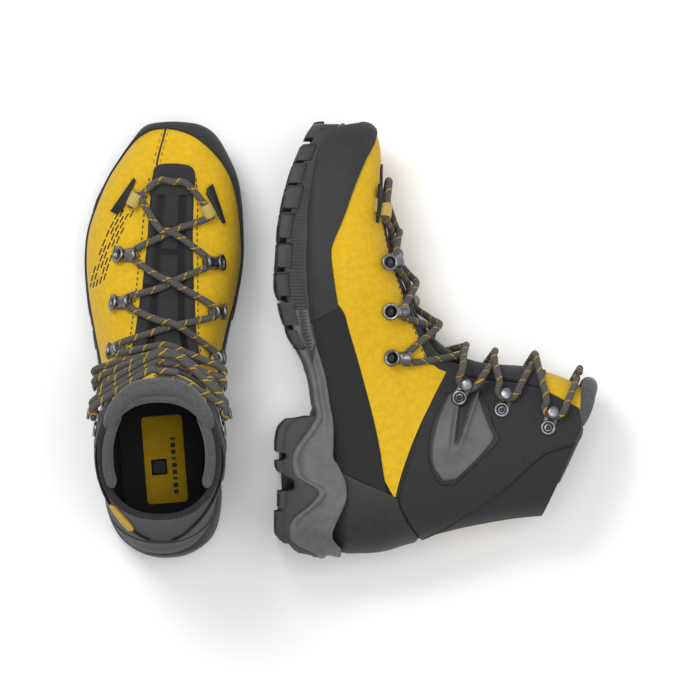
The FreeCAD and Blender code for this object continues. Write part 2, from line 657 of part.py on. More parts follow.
BED = [(290, 38), (275, 31.2), (255, 28.2), (225, 25.8), (203, 25.4), (178, 26.4), (150, 30.6), (118, 36.8),
       (84, 41.4), (50, 43), (20, 43.2)]
BED_AT = [(282, 34), (270, 31), (250, 28), (225, 26), (203, 25.8), (178, 26.8), (150, 31), (118, 37.2),
          (84, 41.8), (50, 43.4), (26, 44)]


def band(name, low, thick):
    """A strip that follows the foot's bed, from low to low plus thick above it."""
    below = [(y, z + low) for y, z in BED]
    above = [(y, z + low + thick) for y, z in BED[::-1]]
    return side_prism(name, joined(below, [(4, 43.6 + low)], [(4, 43.6 + low + thick)], above))


inset = LINING_TOP - LINING - 1.5
medial_edge = [girth_point(*place_of(y, z), inset) for y, z in BED_AT]
lateral_edge = [girth_point(s, 2 - g, inset) for s, g in (place_of(y, z) for y, z in BED_AT)]
edge_points = [(p.x / SCALE_X, p.y / SCALE_Y) for p in medial_edge] + [(14, 16.5), (0, 14.5), (-14, 16.5)]
edge_points += [(p.x / SCALE_X, p.y / SCALE_Y) for p in lateral_edge[::-1]] + [(8, 287)]
bed_plan = plan_prism("bed_plan", [edge_points + edge_points[:1]], 20, 70)
BOARD, FOOTBED = size("board_thick"), size("footbed_thick")
part("insole_board", common("insole_board", band("board_band", 0, BOARD), bed_plan))
shank_body = doc.addObject("PartDesign::Body", "shank_body")
shank_plane = next(f for f in shank_body.Origin.OriginFeatures if f.Role == "YZ_Plane")
shank_sketch = shank_body.newObject("Sketcher::SketchObject", "shank_sketch")
shank_sketch.AttachmentSupport = [(shank_plane, "")]
shank_sketch.MapMode = "FlatFace"
SHANK_LINE = SHANK_LOW + [(y, z + SHANK) for y, z in SHANK_LOW[::-1]]
for start, end in zip(SHANK_LINE, SHANK_LINE[1:] + SHANK_LINE[:1]):
    shank_sketch.addGeometry(Part.LineSegment(V(start[0] * SCALE_Y, start[1] * SCALE_Z, 0),
                                              V(end[0] * SCALE_Y, end[1] * SCALE_Z, 0)))
shank_pad = shank_body.newObject("PartDesign::Pad", "shank_pad")
shank_pad.Profile = shank_sketch
shank_pad.Length = 2 * SHANK_HALF
shank_pad.SideType = "Symmetric"
doc.recompute()
part("shank_plate", shank_body)
part("footbed", common("footbed", band("footbed_band", BOARD + 0.05, FOOTBED), bed_plan))

label_area = plan_prism("label_area", joined([(-14, 38), (16, 38)], [(16, 98)], [(-14, 98)]), 30, 70)
label_band = band("label_band", BOARD + FOOTBED + 0.1, size("label_thick"))
part("footbed_label", common("footbed_label", label_band, label_area))
doc.recompute()

# ---------------------------------------------------------------- lace hardware

# In a fitting's frame x runs towards the throat, y along it and z out of the skin, with the rivet at 0, 0.


def pad_body(name, plane_role, geometry, length, symmetric=False):
    """A PartDesign body of one padded sketch on an origin plane, its length bound to the sheet."""
    body = doc.addObject("PartDesign::Body", name)
    plane = next(f for f in body.Origin.OriginFeatures if f.Role == plane_role)
    sketch = body.newObject("Sketcher::SketchObject", name + "_sketch")
    sketch.AttachmentSupport = [(plane, "")]
    sketch.MapMode = "FlatFace"
    for shape in geometry:
        sketch.addGeometry(shape)
    pad = body.newObject("PartDesign::Pad", name + "_pad")
    pad.Profile = sketch
    pad.setExpression("Length", length)
    if symmetric:
        pad.SideType = "Symmetric"
    return body


def fused(name, *shapes):
    fuse = doc.addObject("Part::MultiFuse", name)
    fuse.Shapes = list(shapes)
    return fuse


RING, PLATE, REACH = size("hook_ring"), size("hook_plate"), size("hook_reach")
BORE, WALL, HEAD = size("tunnel_bore"), size("tunnel_wall"), size("head_radius")
HOLE = size("rivet_shank") + 0.1
TUNNEL_HIGH = BORE + WALL


def tongue_plate(far, half):
    """A plate's outline: round about the rivet hole and straight to its far end."""
    return [
        Part.ArcOfCircle(Part.Circle(V(0, 0, 0), V(0, 0, 1), half), math.pi / 2, 3 * math.pi / 2),
        Part.LineSegment(V(0, -half, 0), V(far, -half, 0)),
        Part.LineSegment(V(far, -half, 0), V(far, half, 0)),
        Part.LineSegment(V(far, half, 0), V(0, half, 0)),
        Part.Circle(V(0, 0, 0), V(0, 0, 1), HOLE),
    ]


def rim_ring(name):
    """The raised rim around a rivet hole."""
    rim = doc.addObject("Part::Cylinder", name + "_outer")
    rim.setExpression("Radius", "sizes.hook_ring")
    rim.setExpression("Height", "sizes.hook_plate * 2.2")
    well = doc.addObject("Part::Cylinder", name + "_well")
    well.setExpression("Radius", "sizes.rivet_cup + 0.1")
    well.setExpression("Height", "sizes.hook_plate * 3")
    return cut(name, rim, well)


loop_plate = pad_body("loop_plate", "XY_Plane", tongue_plate(REACH, RING - 0.6), "sizes.hook_plate")
loop_tube = doc.addObject("Part::Cylinder", "loop_tube")
loop_tube.setExpression("Radius", "sizes.tunnel_bore + sizes.tunnel_wall")
loop_tube.setExpression("Height", "sizes.tunnel_long")
loop_bore = doc.addObject("Part::Cylinder", "loop_bore")
loop_bore.setExpression("Radius", "sizes.tunnel_bore")
loop_bore.setExpression("Height", "sizes.tunnel_long + 4")
ALONG_THROAT = FreeCAD.Rotation(V(1, 0, 0), -90)
loop_tube.Placement = FreeCAD.Placement(V(REACH, -size("tunnel_long") / 2, TUNNEL_HIGH), ALONG_THROAT)
loop_bore.Placement = FreeCAD.Placement(V(REACH, -size("tunnel_long") / 2 - 2, TUNNEL_HIGH), ALONG_THROAT)
loop_hook = cut("loop_hook", fused("loop_hook_body", loop_plate, loop_tube, rim_ring("loop_rim")), loop_bore)

NECK_FROM, NECK_TO, HEAD_LOW, HEAD_THICK = 10.9, 12.6, PLATE + 5.5, 1.8
open_plate = pad_body("open_plate", "XY_Plane", tongue_plate(NECK_TO, 2.6)[1:4] + [
    Part.ArcOfCircle(Part.Circle(V(0, 0, 0), V(0, 0, 1), 2.6), math.pi / 2, 3 * math.pi / 2),
    Part.Circle(V(0, 0, 0), V(0, 0, 1), HOLE)], "sizes.hook_plate")
neck = doc.addObject("Part::Box", "open_neck")
neck.Length, neck.Width, neck.Height = NECK_TO - NECK_FROM, 4.6, HEAD_LOW + HEAD_THICK / 2
neck.Placement = FreeCAD.Placement(V(NECK_FROM, -2.3, 0), FreeCAD.Rotation())
head = doc.addObject("Part::Cylinder", "open_head")
head.setExpression("Radius", "sizes.head_radius")
head.Height = HEAD_THICK
head.Placement = FreeCAD.Placement(V(NECK_TO - HEAD + 1.2, 0, HEAD_LOW), FreeCAD.Rotation())
open_rim_base = doc.addObject("Part::Cylinder", "open_rim_base")
open_rim_base.setExpression("Radius", "sizes.hook_ring")
open_rim_base.setExpression("Height", "sizes.hook_plate")
open_rim_hole = doc.addObject("Part::Cylinder", "open_rim_hole")
open_rim_hole.Radius = HOLE
open_rim_hole.Height = 20
open_hook = cut("open_hook", fused("open_hook_body", open_plate, neck, head, open_rim_base,
                                   rim_ring("open_rim")), open_rim_hole)

rivet = doc.addObject("PartDesign::Body", "rivet")
rivet_plane = next(f for f in rivet.Origin.OriginFeatures if f.Role == "XZ_Plane")
rivet_sketch = rivet.newObject("Sketcher::SketchObject", "rivet_sketch")
rivet_sketch.AttachmentSupport = [(rivet_plane, "")]
rivet_sketch.MapMode = "FlatFace"
CUP, STEM, DEEP = size("rivet_cup"), size("rivet_shank"), size("rivet_deep")
SEAT = PLATE + 0.02
RIVET_LINE = [(0, -DEEP), (STEM, -DEEP), (STEM, SEAT), (CUP, SEAT), (CUP, SEAT + 1.3),
              (CUP - 0.9, SEAT + 1.3), (CUP - 1.5, SEAT + 0.6), (0, SEAT + 0.6)]
for start, end in zip(RIVET_LINE, RIVET_LINE[1:] + RIVET_LINE[:1]):
    rivet_sketch.addGeometry(Part.LineSegment(V(start[0], start[1], 0), V(end[0], end[1], 0)))
turn = rivet.newObject("PartDesign::Revolution", "rivet_turn")
turn.Profile = rivet_sketch
turn.ReferenceAxis = (rivet_sketch, ["V_Axis"])
turn.Angle = 360

WEB = size("webbing_thick")
WEB_WIDE = 10.0
web_tube = doc.addObject("Part::Cylinder", "web_tube")
web_tube.setExpression("Radius", "sizes.tunnel_bore + sizes.webbing_thick")
web_tube.Height = WEB_WIDE
web_bore = doc.addObject("Part::Cylinder", "web_bore")
web_bore.setExpression("Radius", "sizes.tunnel_bore")
web_bore.Height = WEB_WIDE + 4
web_tube.Placement = FreeCAD.Placement(V(REACH, -WEB_WIDE / 2, BORE + WEB), ALONG_THROAT)
web_bore.Placement = FreeCAD.Placement(V(REACH, -WEB_WIDE / 2 - 2, BORE + WEB), ALONG_THROAT)
web_tail = doc.addObject("Part::Box", "web_tail")
web_tail.Length, web_tail.Width, web_tail.Height = REACH + 2, WEB_WIDE, 2 * WEB
web_tail.Placement = FreeCAD.Placement(V(-2, -WEB_WIDE / 2, 0), FreeCAD.Rotation())
web_loop = cut("web_loop", fused("web_loop_body", web_tail, web_tube), web_bore)

web_tab = pad_body("web_tab", "XY_Plane", [
    Part.LineSegment(V(-3.5, -15, 0), V(3.2, -12, 0)), Part.LineSegment(V(3.2, -12, 0), V(1.6, 13, 0)),
    Part.LineSegment(V(1.6, 13, 0), V(-0.2, 13, 0)),
    Part.LineSegment(V(-0.2, 13, 0), V(-3.5, -15, 0))], "sizes.webbing_thick")
doc.recompute()

# ---------------------------------------------------------------- where the fittings sit

THROAT_MIDDLE = 5.5


def seat(position, angle, towards, lift=0.06):
    """The placement of a fitting: its rivet on the skin and its x axis along the skin towards a point."""
    origin, normal = lifted(position, angle, lift), skin_normal(position, angle)
    aim = towards - origin
    along = (aim - normal * aim.dot(normal)).normalize()
    across = normal.cross(along)
    matrix = FreeCAD.Matrix(along.x, across.x, normal.x, origin.x, along.y, across.y, normal.y, origin.y,
                            along.z, across.z, normal.z, origin.z, 0, 0, 0, 1)
    return FreeCAD.Placement(matrix)


def instep_seat(x, y):
    s, a = nearest_skin((x, y, 0), (1, 1, 0), None)
    top = skin_point(s, 90)
    return seat(s, a, V(THROAT_MIDDLE, y, top.z + 4))


def cuff_seat(side, y, z, lean):
    s, a = nearest_skin((0, y, z), (0, 1, 1), side)
    front = skin_point(s + lean, 90)
    return seat(s, a, V(THROAT_MIDDLE - 2, front.y, front.z))


INSTEP = {"medial": [(37, 203), (38, 170), (36.5, 138)], "lateral": [(-25, 208), (-27.5, 175), (-29, 142)]}
TOE_LOOPS = {"medial": (36, 239), "lateral": (-22, 246)}
CUFF = {1: (108.5, 124.3), 2: (102, 155.5), 3: (90, 187)}
instep_seats = {(side, k): instep_seat(*spot) for side, spots in INSTEP.items() for k,
                spot in enumerate(spots)}
toe_seats = {side: instep_seat(*spot) for side, spot in TOE_LOOPS.items()}
cuff_seats = {(side, k): cuff_seat(sign, *spot, lean) for side, sign in (("medial", 1), ("lateral", -1))
              for (k, spot), lean in zip(CUFF.items(), (-1.0, 0.0, 0.0))}


def set_of(node, *groups):
    """One node made of copies of small parts at several seats, each group a master, its seats and a lift."""
    solids = []
    for master, placements, lift in groups:
        for placement in placements:
            copy = master.Shape.copy()
            copy.Placement = placement.multiply(FreeCAD.Placement(V(0, 0, lift), FreeCAD.Rotation()))
            solids += copy.Solids
    feature = doc.addObject("Part::Feature", node + "_set")
    feature.Shape = Part.makeCompound(solids)
    part(node, feature)


upper_seats = [p for (side, k), p in cuff_seats.items() if k > 1]
ankle_seats = [p for (side, k), p in cuff_seats.items() if k == 1]
INSERT_LIFT = GAP + size("insert_thick") + 0.25
set_of("lower_hooks", (loop_hook, instep_seats.values(), 0.0), (open_hook, ankle_seats, INSERT_LIFT))
set_of("lower_rivets", (rivet, instep_seats.values(), 0.0), (rivet, ankle_seats, INSERT_LIFT))
set_of("cuff_hooks", (open_hook, upper_seats, 0.0))
set_of("cuff_rivets", (rivet, upper_seats, 0.0))
set_of("toe_loops", (web_loop, toe_seats.values(), 0.0), (web_tab, toe_seats.values(), 2 * WEB + 0.1))

# ---------------------------------------------------------------- the lace

LACE = size("lace_dia") / 2
TUNNEL_AT = V(REACH, 0, TUNNEL_HIGH)
WEB_AT = V(REACH, 0, BORE + WEB)
POST_AT = V(NECK_FROM - LACE - size("lace_clear"), 0, PLATE + LACE + size("lace_clear"))


def over_tongue(share, station, lift):
    """A point above the tongue: share is -1 at the lateral edge of the throat and 1 at the medial edge."""
    wide = 14.0 if station < 12 else 18.0
    target = THROAT_MIDDLE + share * wide
    low, high = 20.0, 160.0
    for _ in range(20):
        middle = (low + high) / 2
        if skin_point(station, middle).x / SCALE_X > target:
            low = middle
        else:
            high = middle
    return lifted(station, low, lift)


def through(placement, centre, half, forward=1):
    """The lace inside a fitting, from the toe end of it to the ankle end."""
    lines = [placement.multVec(centre + V(0, half * k, 0)) for k in (-1, 0, 1)]
    return lines if lines[0].y > lines[2].y or lines[0].z < lines[2].z else lines[::-1]


def around_post(placement):
    """The lace round the neck of an open hook, in from below and out above."""
    turn = [V(NECK_TO + 2.4, -5.6, POST_AT.z), V(POST_AT.x + 0.9, -3.4, POST_AT.z),
            V(POST_AT.x, 0, POST_AT.z),
            V(POST_AT.x + 0.9, 3.4, POST_AT.z), V(NECK_TO + 2.4, 5.6, POST_AT.z)]
    points = [placement.multVec(p) for p in turn]
    return points if points[0].z < points[-1].z else points[::-1]


def station_near(y, z):
    return place_of(y, z)[0]


# One half of the lace climbs from the medial toe loop and the other from the lateral one. They cross on
# the centre line between each pair of hooks, and the half listed as over passes above the other there.
CROSSINGS = [((226, 77), "lateral"), ((190, 89), "medial"), ((158, 106), "lateral"), ((135, 137), "medial"),
             ((131, 161), "lateral"), ((126, 187), "medial")]
cross_stations = []
for (y, z), over in CROSSINGS:
    cross_stations.append((station_near(y / 1.0 - 3, z - 6), over))


def half_lace(start):
    """Points of one half of the lace, from the toe loop on its own side to the top hook."""
    other = {"medial": "lateral", "lateral": "medial"}
    side = start
    points = through(toe_seats[side], WEB_AT, 4.5)
    stops = [instep_seats, instep_seats, instep_seats, cuff_seats, cuff_seats, cuff_seats]
    for k, (station, over) in enumerate(cross_stations):
        lift = (LACE + 1.6) if over != start else (3 * LACE + 2.6)
        sign = 1 if side == "medial" else -1
        for share in (0.5, 0.0, -0.5):
            rise = lift if share == 0 else lift * 0.75 + 0.8
            points.append(over_tongue(share * sign, station + (0.35 if k < 3 else 0.3) * -share * 2 * 0.5,
                                      rise))
        side = other[side]
        if k < 3:
            points += through(stops[k][(side, k)], TUNNEL_AT, 3.6)
        else:
            points += around_post(stops[k][(side, k - 2)] if k > 3 else raised_ankle(side))
    last = points[-1]
    points.append(V(last.x * 0.76 + 1, last.y + 10, last.z + 7))
    return points


def raised_ankle(side):
    return cuff_seats[(side, 1)].multiply(FreeCAD.Placement(V(0, 0, INSERT_LIFT), FreeCAD.Rotation()))


def cord(name, points, radius, pieces=48, rings=6, sides=8):
    """An eight-sided cord along a smooth line, made of ruled strips between untwisted lines along it."""
    path = Part.BSplineCurve()
    path.interpolate(points)
    columns = [[] for _ in range(sides)]
    across = V(0, 0, 1)
    for at in path.discretize(Number=pieces * rings + 1):
        along = path.tangent(path.parameter(at))[0]
        across = (across - along * across.dot(along)).normalize()
        other = along.cross(across)
        for index, column in enumerate(columns):
            turn = 2 * math.pi * index / sides
            column.append(at + across * (radius * math.cos(turn)) + other * (radius * math.sin(turn)))
    steps = [index / rings for index in range(rings + 1)]
    faces = []
    for first in range(0, pieces * rings, rings):
        edges = []
        for column in columns:
            curve = Part.BSplineCurve()
            curve.interpolate(Points=column[first:first + rings + 1], Parameters=steps)
            edges.append(curve.toShape())
        faces += [Part.makeRuledSurface(one, two) for one, two in zip(edges, edges[1:] + edges[:1])]
    for end in (0, -1):
        rim = [column[end] for column in columns]
        faces.append(Part.Face(Part.makePolygon(rim + rim[:1])))
    shell = Part.Shell(faces)
    shell.sewShape()
    solid = Part.Solid(shell)
    if solid.Volume < 0:
        solid.reverse()
    feature = doc.addObject("Part::Feature", name)
    feature.Shape = solid
    return feature


toe_bar = [V(18, 258.0, 78.6), V(8, 259.5, 79.2), V(-3, 259.5, 78.4)]
lace_points = half_lace("medial")[::-1] + toe_bar + half_lace("lateral")
part("lace", cord("lace", lace_points, LACE))

# ---------------------------------------------------------------- check and write

doc.recompute()
broken = [o.Name for o in doc.Objects if "Invalid" in o.State or "Error" in o.State]
if broken:
    raise SystemExit(f"failed objects: {broken}")

left, right = {}, {}
for node, feature in parts.items():
    left["left_" + node] = feature
    feature.Label = "left_" + node
    mirror = doc.addObject("Part::Mirroring", "right_" + node)
    mirror.Label = "right_" + node
    mirror.Source = feature
    mirror.Normal = V(1, 0, 0)
    right["right_" + node] = mirror
doc.recompute()


def bounds(features):
    boxes = [f.Shape.optimalBoundingBox(False) for f in features]
    low = V(min(b.XMin for b in boxes), min(b.YMin for b in boxes), min(b.ZMin for b in boxes))
    high = V(max(b.XMax for b in boxes), max(b.YMax for b in boxes), max(b.ZMax for b in boxes))
    return low, high


OUTERMOST = ["midsole", "forefoot_outsole", "heel_outsole", "toe_rand", "medial_vamp", "lateral_vamp",
             "lace", "tongue_collar", "cuff_lining", "cuff_hooks", "lower_hooks"]
left_low, left_high = bounds([left["left_" + node] for node in OUTERMOST])
lay = FreeCAD.Rotation(V(0, 1, 0), 90 + size("lying_tilt"))
for mirror in right.values():
    mirror.Placement = FreeCAD.Placement(V(0, 0, 0), lay)
doc.recompute()
right_low, right_high = bounds([right["right_" + node] for node in OUTERMOST])
shift_left = V(-left_high.x, 0, -left_low.z)
shift_right = V(size("pair_gap") - right_low.x, 0, -right_low.z)
low_x, high_x = left_low.x - left_high.x, size("pair_gap") + right_high.x - right_low.x
low_y, high_y = min(left_low.y, right_low.y), max(left_high.y, right_high.y)
middle = V((low_x + high_x) / 2, (low_y + high_y) / 2, 0)
stand = FreeCAD.Placement(shift_left - middle, FreeCAD.Rotation())
lie = FreeCAD.Placement(shift_right - middle, lay)
for feature in left.values():
    feature.Placement = stand
back = stand.Base
for mirror in right.values():
    mirror.Placement = lie.multiply(FreeCAD.Placement(V(back.x, -back.y, -back.z), FreeCAD.Rotation()))
doc.recompute()

os.makedirs("parts", exist_ok=True)
for node, feature in {**left, **right}.items():
    shape = feature.Shape
    if "Invalid" in feature.State or "Error" in feature.State or shape.isNull() or not shape.isValid():
        raise SystemExit(f"bad shape: {node}")
    shape.exportStep(f"parts/{node}.step")
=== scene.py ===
import json
import math

import bmesh
import bpy
import numpy as np
from mathutils import Matrix, Vector


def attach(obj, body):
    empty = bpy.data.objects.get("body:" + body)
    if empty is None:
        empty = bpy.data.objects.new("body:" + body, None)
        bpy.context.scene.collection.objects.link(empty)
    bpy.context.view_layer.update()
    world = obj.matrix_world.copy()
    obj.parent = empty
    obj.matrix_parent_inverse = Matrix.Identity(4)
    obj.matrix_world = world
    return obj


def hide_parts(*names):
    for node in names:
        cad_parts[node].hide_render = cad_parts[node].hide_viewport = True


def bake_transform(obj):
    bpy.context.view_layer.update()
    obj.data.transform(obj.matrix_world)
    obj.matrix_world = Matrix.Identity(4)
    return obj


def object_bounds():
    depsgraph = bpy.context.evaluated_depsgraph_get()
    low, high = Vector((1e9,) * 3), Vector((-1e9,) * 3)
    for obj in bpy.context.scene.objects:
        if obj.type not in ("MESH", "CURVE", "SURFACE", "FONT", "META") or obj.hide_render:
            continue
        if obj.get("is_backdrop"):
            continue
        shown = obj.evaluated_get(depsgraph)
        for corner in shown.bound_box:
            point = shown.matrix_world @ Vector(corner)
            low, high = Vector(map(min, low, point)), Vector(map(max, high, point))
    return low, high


# A pair of laced mountaineering boots. One boot is built in its own frame, in millimetres: x is 0 on the
# centre line and positive on the medial side, y runs from the heel (0) to the toe, z is 0 at the tips of
# the lugs. Each piece is then set on both boots, mirrored for the right one, which lies on its side.

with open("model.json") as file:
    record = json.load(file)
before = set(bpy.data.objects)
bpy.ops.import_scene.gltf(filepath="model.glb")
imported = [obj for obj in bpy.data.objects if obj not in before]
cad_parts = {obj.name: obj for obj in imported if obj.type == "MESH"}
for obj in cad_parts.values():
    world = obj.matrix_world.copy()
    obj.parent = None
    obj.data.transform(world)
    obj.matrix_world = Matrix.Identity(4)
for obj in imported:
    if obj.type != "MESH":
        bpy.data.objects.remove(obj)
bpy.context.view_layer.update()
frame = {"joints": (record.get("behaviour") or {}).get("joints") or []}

JOINTS = {joint["name"]: joint for joint in frame["joints"]}
PIVOT = np.array([0.0, 80.0, 125.0])
MM = 0.001


def boot_to_world(side):
    """The 4x4 matrix from a boot's own frame, in millimetres, to the row frame, in metres."""
    joint = JOINTS[side + "_ankle_flex"]
    if side == "left":
        turn = np.eye(3)
    else:
        across = np.array(joint["axis"]) / np.linalg.norm(joint["axis"])
        ahead = np.array([0.0, 1.0, 0.0])
        turn = np.column_stack([across, ahead, np.cross(ahead, across)])
    matrix = np.eye(4)
    matrix[:3, :3] = turn * MM
    matrix[:3, 3] = np.array(joint["pos_m"]) - turn @ PIVOT * MM
    return matrix


WORLD = {side: boot_to_world(side) for side in ("left", "right")}

# ---------------------------------------------------------------- the upper's skin

# Bottom y, z; top y, z; centre x; half width; where it is widest; the squareness of the upper and lower
# halves; and how far a section moves forward when the skin is offset. The side view is the same as in the
# CAD source, and the forefoot is a few millimetres wider.
SECTIONS = np.array([
    (298.5, 45, 299.8, 57, 8.5, 9.0, 0.40, 2.0, 2.0, 1.00),
    (296.5, 37, 298.8, 63.5, 8.5, 17.0, 0.36, 2.2, 2.4, 0.90),
    (293.0, 31, 295.8, 67.8, 9.5, 23.0, 0.32, 2.4, 2.8, 0.70),
    (287.0, 27.5, 290.0, 71.0, 10.0, 28.5, 0.28, 2.5, 3.2, 0.45),
    (277.0, 24.5, 280.0, 73.0, 9.0, 35.3, 0.25, 2.6, 3.6, 0.20),
    (263.0, 22, 265.0, 73.0, 7.4, 43.2, 0.23, 2.8, 4.0, 0.08),
    (246.0, 20, 248.0, 73.2, 5.0, 48.6, 0.22, 2.9, 4.0, 0.0),
    (225.0, 18.5, 228.0, 75.8, 2.2, 52.6, 0.22, 2.9, 4.0, 0.0),
    (203.0, 18, 208.0, 80.5, 1.2, 53.4, 0.22, 2.9, 4.0, 0.0),
    (178.0, 19, 187.0, 88.5, 0.2, 50.6, 0.20, 2.8, 4.0, 0.0),
    (150.0, 22, 168.0, 97.5, -0.7, 45.6, 0.20, 2.7, 3.8, 0.0),
    (118.0, 28, 153.0, 108.0, -0.6, 40.5, 0.22, 2.7, 3.6, 0.0),
    (84.0, 33, 143.5, 119.0, -0.3, 38.5, 0.28, 2.6, 3.4, 0.0),
    (50.0, 35, 138.0, 128.5, 0.0, 38.3, 0.34, 2.5, 3.2, 0.0),
    (22.0, 35, 135.5, 137.0, 0.2, 38.5, 0.40, 2.4, 2.8, 0.0),
    (6.0, 45, 134.0, 144.0, 0.4, 39.0, 0.45, 2.3, 2.4, 0.0),
    (4.2, 62, 133.2, 150.0, 0.5, 39.5, 0.48, 2.3, 2.3, 0.0),
    (5.5, 77, 132.8, 155.0, 0.6, 40.0, 0.48, 2.3, 2.3, 0.0),
    (10.0, 92, 132.4, 161.0, 0.8, 40.5, 0.48, 2.3, 2.3, 0.0),
    (14.0, 108, 132.0, 168.0, 1.0, 41.3, 0.48, 2.3, 2.3, 0.0),
    (19.0, 128, 131.0, 177.0, 1.2, 42.3, 0.48, 2.3, 2.3, 0.0),
    (22.5, 146, 129.0, 187.0, 1.3, 43.0, 0.48, 2.3, 2.3, 0.0),
    (25.5, 164, 125.5, 198.0, 1.4, 43.3, 0.48, 2.3, 2.3, 0.0),
    (27.0, 178, 121.0, 208.0, 1.4, 43.0, 0.48, 2.3, 2.3, 0.0),
    (28.0, 192, 115.0, 221.0, 1.4, 42.5, 0.48, 2.3, 2.3, 0.0),
    (29.0, 206, 109.0, 236.0, 1.4, 42.0, 0.48, 2.3, 2.3, 0.0),
])
LAST = len(SECTIONS) - 1


def sections_at(station):
    """The sections' numbers at any stations, smoothly between the drawn ones: ten arrays."""
    station = np.clip(np.asarray(station, float), 0, LAST)
    first = np.minimum(station.astype(int), LAST - 1)
    t = (station - first)[..., None]
    p0, p1 = SECTIONS[np.maximum(first - 1, 0)], SECTIONS[first]
    p2, p3 = SECTIONS[first + 1], SECTIONS[np.minimum(first + 2, LAST)]
    mixed = ((2 * t**3 - 3 * t**2 + 1) * p1 + (t**3 - 2 * t**2 + t) * (p2 - p0) / 2
             + (-2 * t**3 + 3 * t**2) * p2 + (t**3 - t**2) * (p3 - p1) / 2)
    return np.moveaxis(mixed, -1, 0)


def skin(station, angle, offset=0.0):
    """Points of the skin: angle is 90 at the top of a section, 0 medial, 180 lateral, -90 below."""
    by, bz, ty, tz, cx, half, widest, top_n, low_n, forward = sections_at(station)
    long = np.hypot(ty - by, tz - bz)
    uy, uz = (ty - by) / long, (tz - bz) / long
    c, s = np.cos(np.radians(angle)), np.sin(np.radians(angle))
    power = 2.0 / np.where(s >= 0, top_n, low_n)
    across = np.sign(c) * np.abs(c) ** power * (half + offset)
    room = np.where(s >= 0, long * (1 - widest) + offset, -(long * widest + offset))
    along = np.abs(s) ** power * room
    y = by + uy * (long * widest + along) + forward * offset
    return np.stack(np.broadcast_arrays(cx + across, y, bz + uz * (long * widest + along)), -1)


# The angle at each share of a section's half girth, counted from the bottom up by length.
GIRTH_S = np.linspace(0, LAST, LAST * 10 + 1)
GIRTH_G = np.linspace(0, 1, 161)


def girth_angles():
    angles = np.linspace(-90, 90, 241)
    rows = []
    for s in GIRTH_S:
        points = skin(np.full(angles.shape, s), angles)
        lengths = np.concatenate([[0], np.cumsum(np.linalg.norm(np.diff(points, axis=0), axis=1))])
        rows.append(np.interp(GIRTH_G, lengths / lengths[-1], angles))
    return np.array(rows)


ANGLES = girth_angles()


def angle_at(station, girth):
    """The angle at a girth: 0 is the bottom or back, 1 the top; 1 to 2 and -1 to 0 are lateral."""
    station, girth = np.broadcast_arrays(np.asarray(station, float), np.asarray(girth, float))
    share = np.clip(np.where(girth > 1, 2 - girth, np.abs(girth)), 0, 1)
    i = np.clip(station / LAST, 0, 1) * (len(GIRTH_S) - 1)
    j = share * (len(GIRTH_G) - 1)
    i0, j0 = np.minimum(i.astype(int), len(GIRTH_S) - 2), np.minimum(j.astype(int), len(GIRTH_G) - 2)
    fi, fj = i - i0, j - j0
    angle = ((ANGLES[i0, j0] * (1 - fj) + ANGLES[i0, j0 + 1] * fj) * (1 - fi)
             + (ANGLES[i0 + 1, j0] * (1 - fj) + ANGLES[i0 + 1, j0 + 1] * fj) * fi)
    return np.where(girth > 1, 180 - angle, np.where(girth < 0, -180 - angle, angle))


def on_skin(places, offset=0.0):
    """Points at places (station, girth), stood off the skin by offset."""
    places = np.asarray(places, float)
    return skin(places[..., 0], angle_at(places[..., 0], places[..., 1]), offset)


def place_of(y, z):
    """The place on the medial skin seen at (y, z) in the side view."""
    low, high = 0.0, float(LAST)
    for _ in range(34):
        middle = (low + high) / 2
        by, bz, ty, tz = sections_at(middle)[:4]
        if (ty - by) * (z - bz) - (tz - bz) * (y - by) < 0:
            high = middle
        else:
            low = middle
    by, bz, ty, tz, _, _, widest, top_n, low_n, _ = sections_at(low)
    share = ((ty - by) * (y - by) + (tz - bz) * (z - bz)) / ((ty - by) ** 2 + (tz - bz) ** 2)
    share = min(max(share, 0.0), 1.0)
    if share >= widest:
        angle = math.degrees(math.asin(((share - widest) / (1 - widest)) ** (top_n / 2)))
    else:
        angle = -math.degrees(math.asin(((widest - share) / widest) ** (low_n / 2)))
    row = low / LAST * (len(GIRTH_S) - 1)
    k = min(int(row), len(GIRTH_S) - 2)
    angles = ANGLES[k] * (1 - row + k) + ANGLES[k + 1] * (row - k)
    return (low, float(np.interp(angle, angles, GIRTH_G)))


def smooth_line(points, steps=6):
    """The points with more put between them along a smooth line."""
    points = [np.array(p, float) for p in points]
    dense = [points[0]]
    for k in range(len(points) - 1):
        p0, p1, p2, p3 = points[max(k - 1, 0)], points[k], points[k + 1], points[min(k + 2, len(points) - 1)]
        for step in range(1, steps + 1):
            t = step / steps
            dense.append(0.5 * (2 * p1 + (p2 - p0) * t + (2 * p0 - 5 * p1 + 4 * p2 - p3) * t**2
                                + (3 * p1 - p0 - 3 * p2 + p3) * t**3))
    return dense


def medial(points):
    return np.array([place_of(y, z) for y, z in smooth_line(points)])


def other_side(line):
    return np.column_stack([line[:, 0], 2 - line[:, 1]])


def round_back(points):
    """A side-view line that ends at the back of the boot, carried round to the other side."""
    near = medial(points)
    return np.vstack([near, [(near[-1, 0], 0.0)], near[::-1] * (1, -1)])


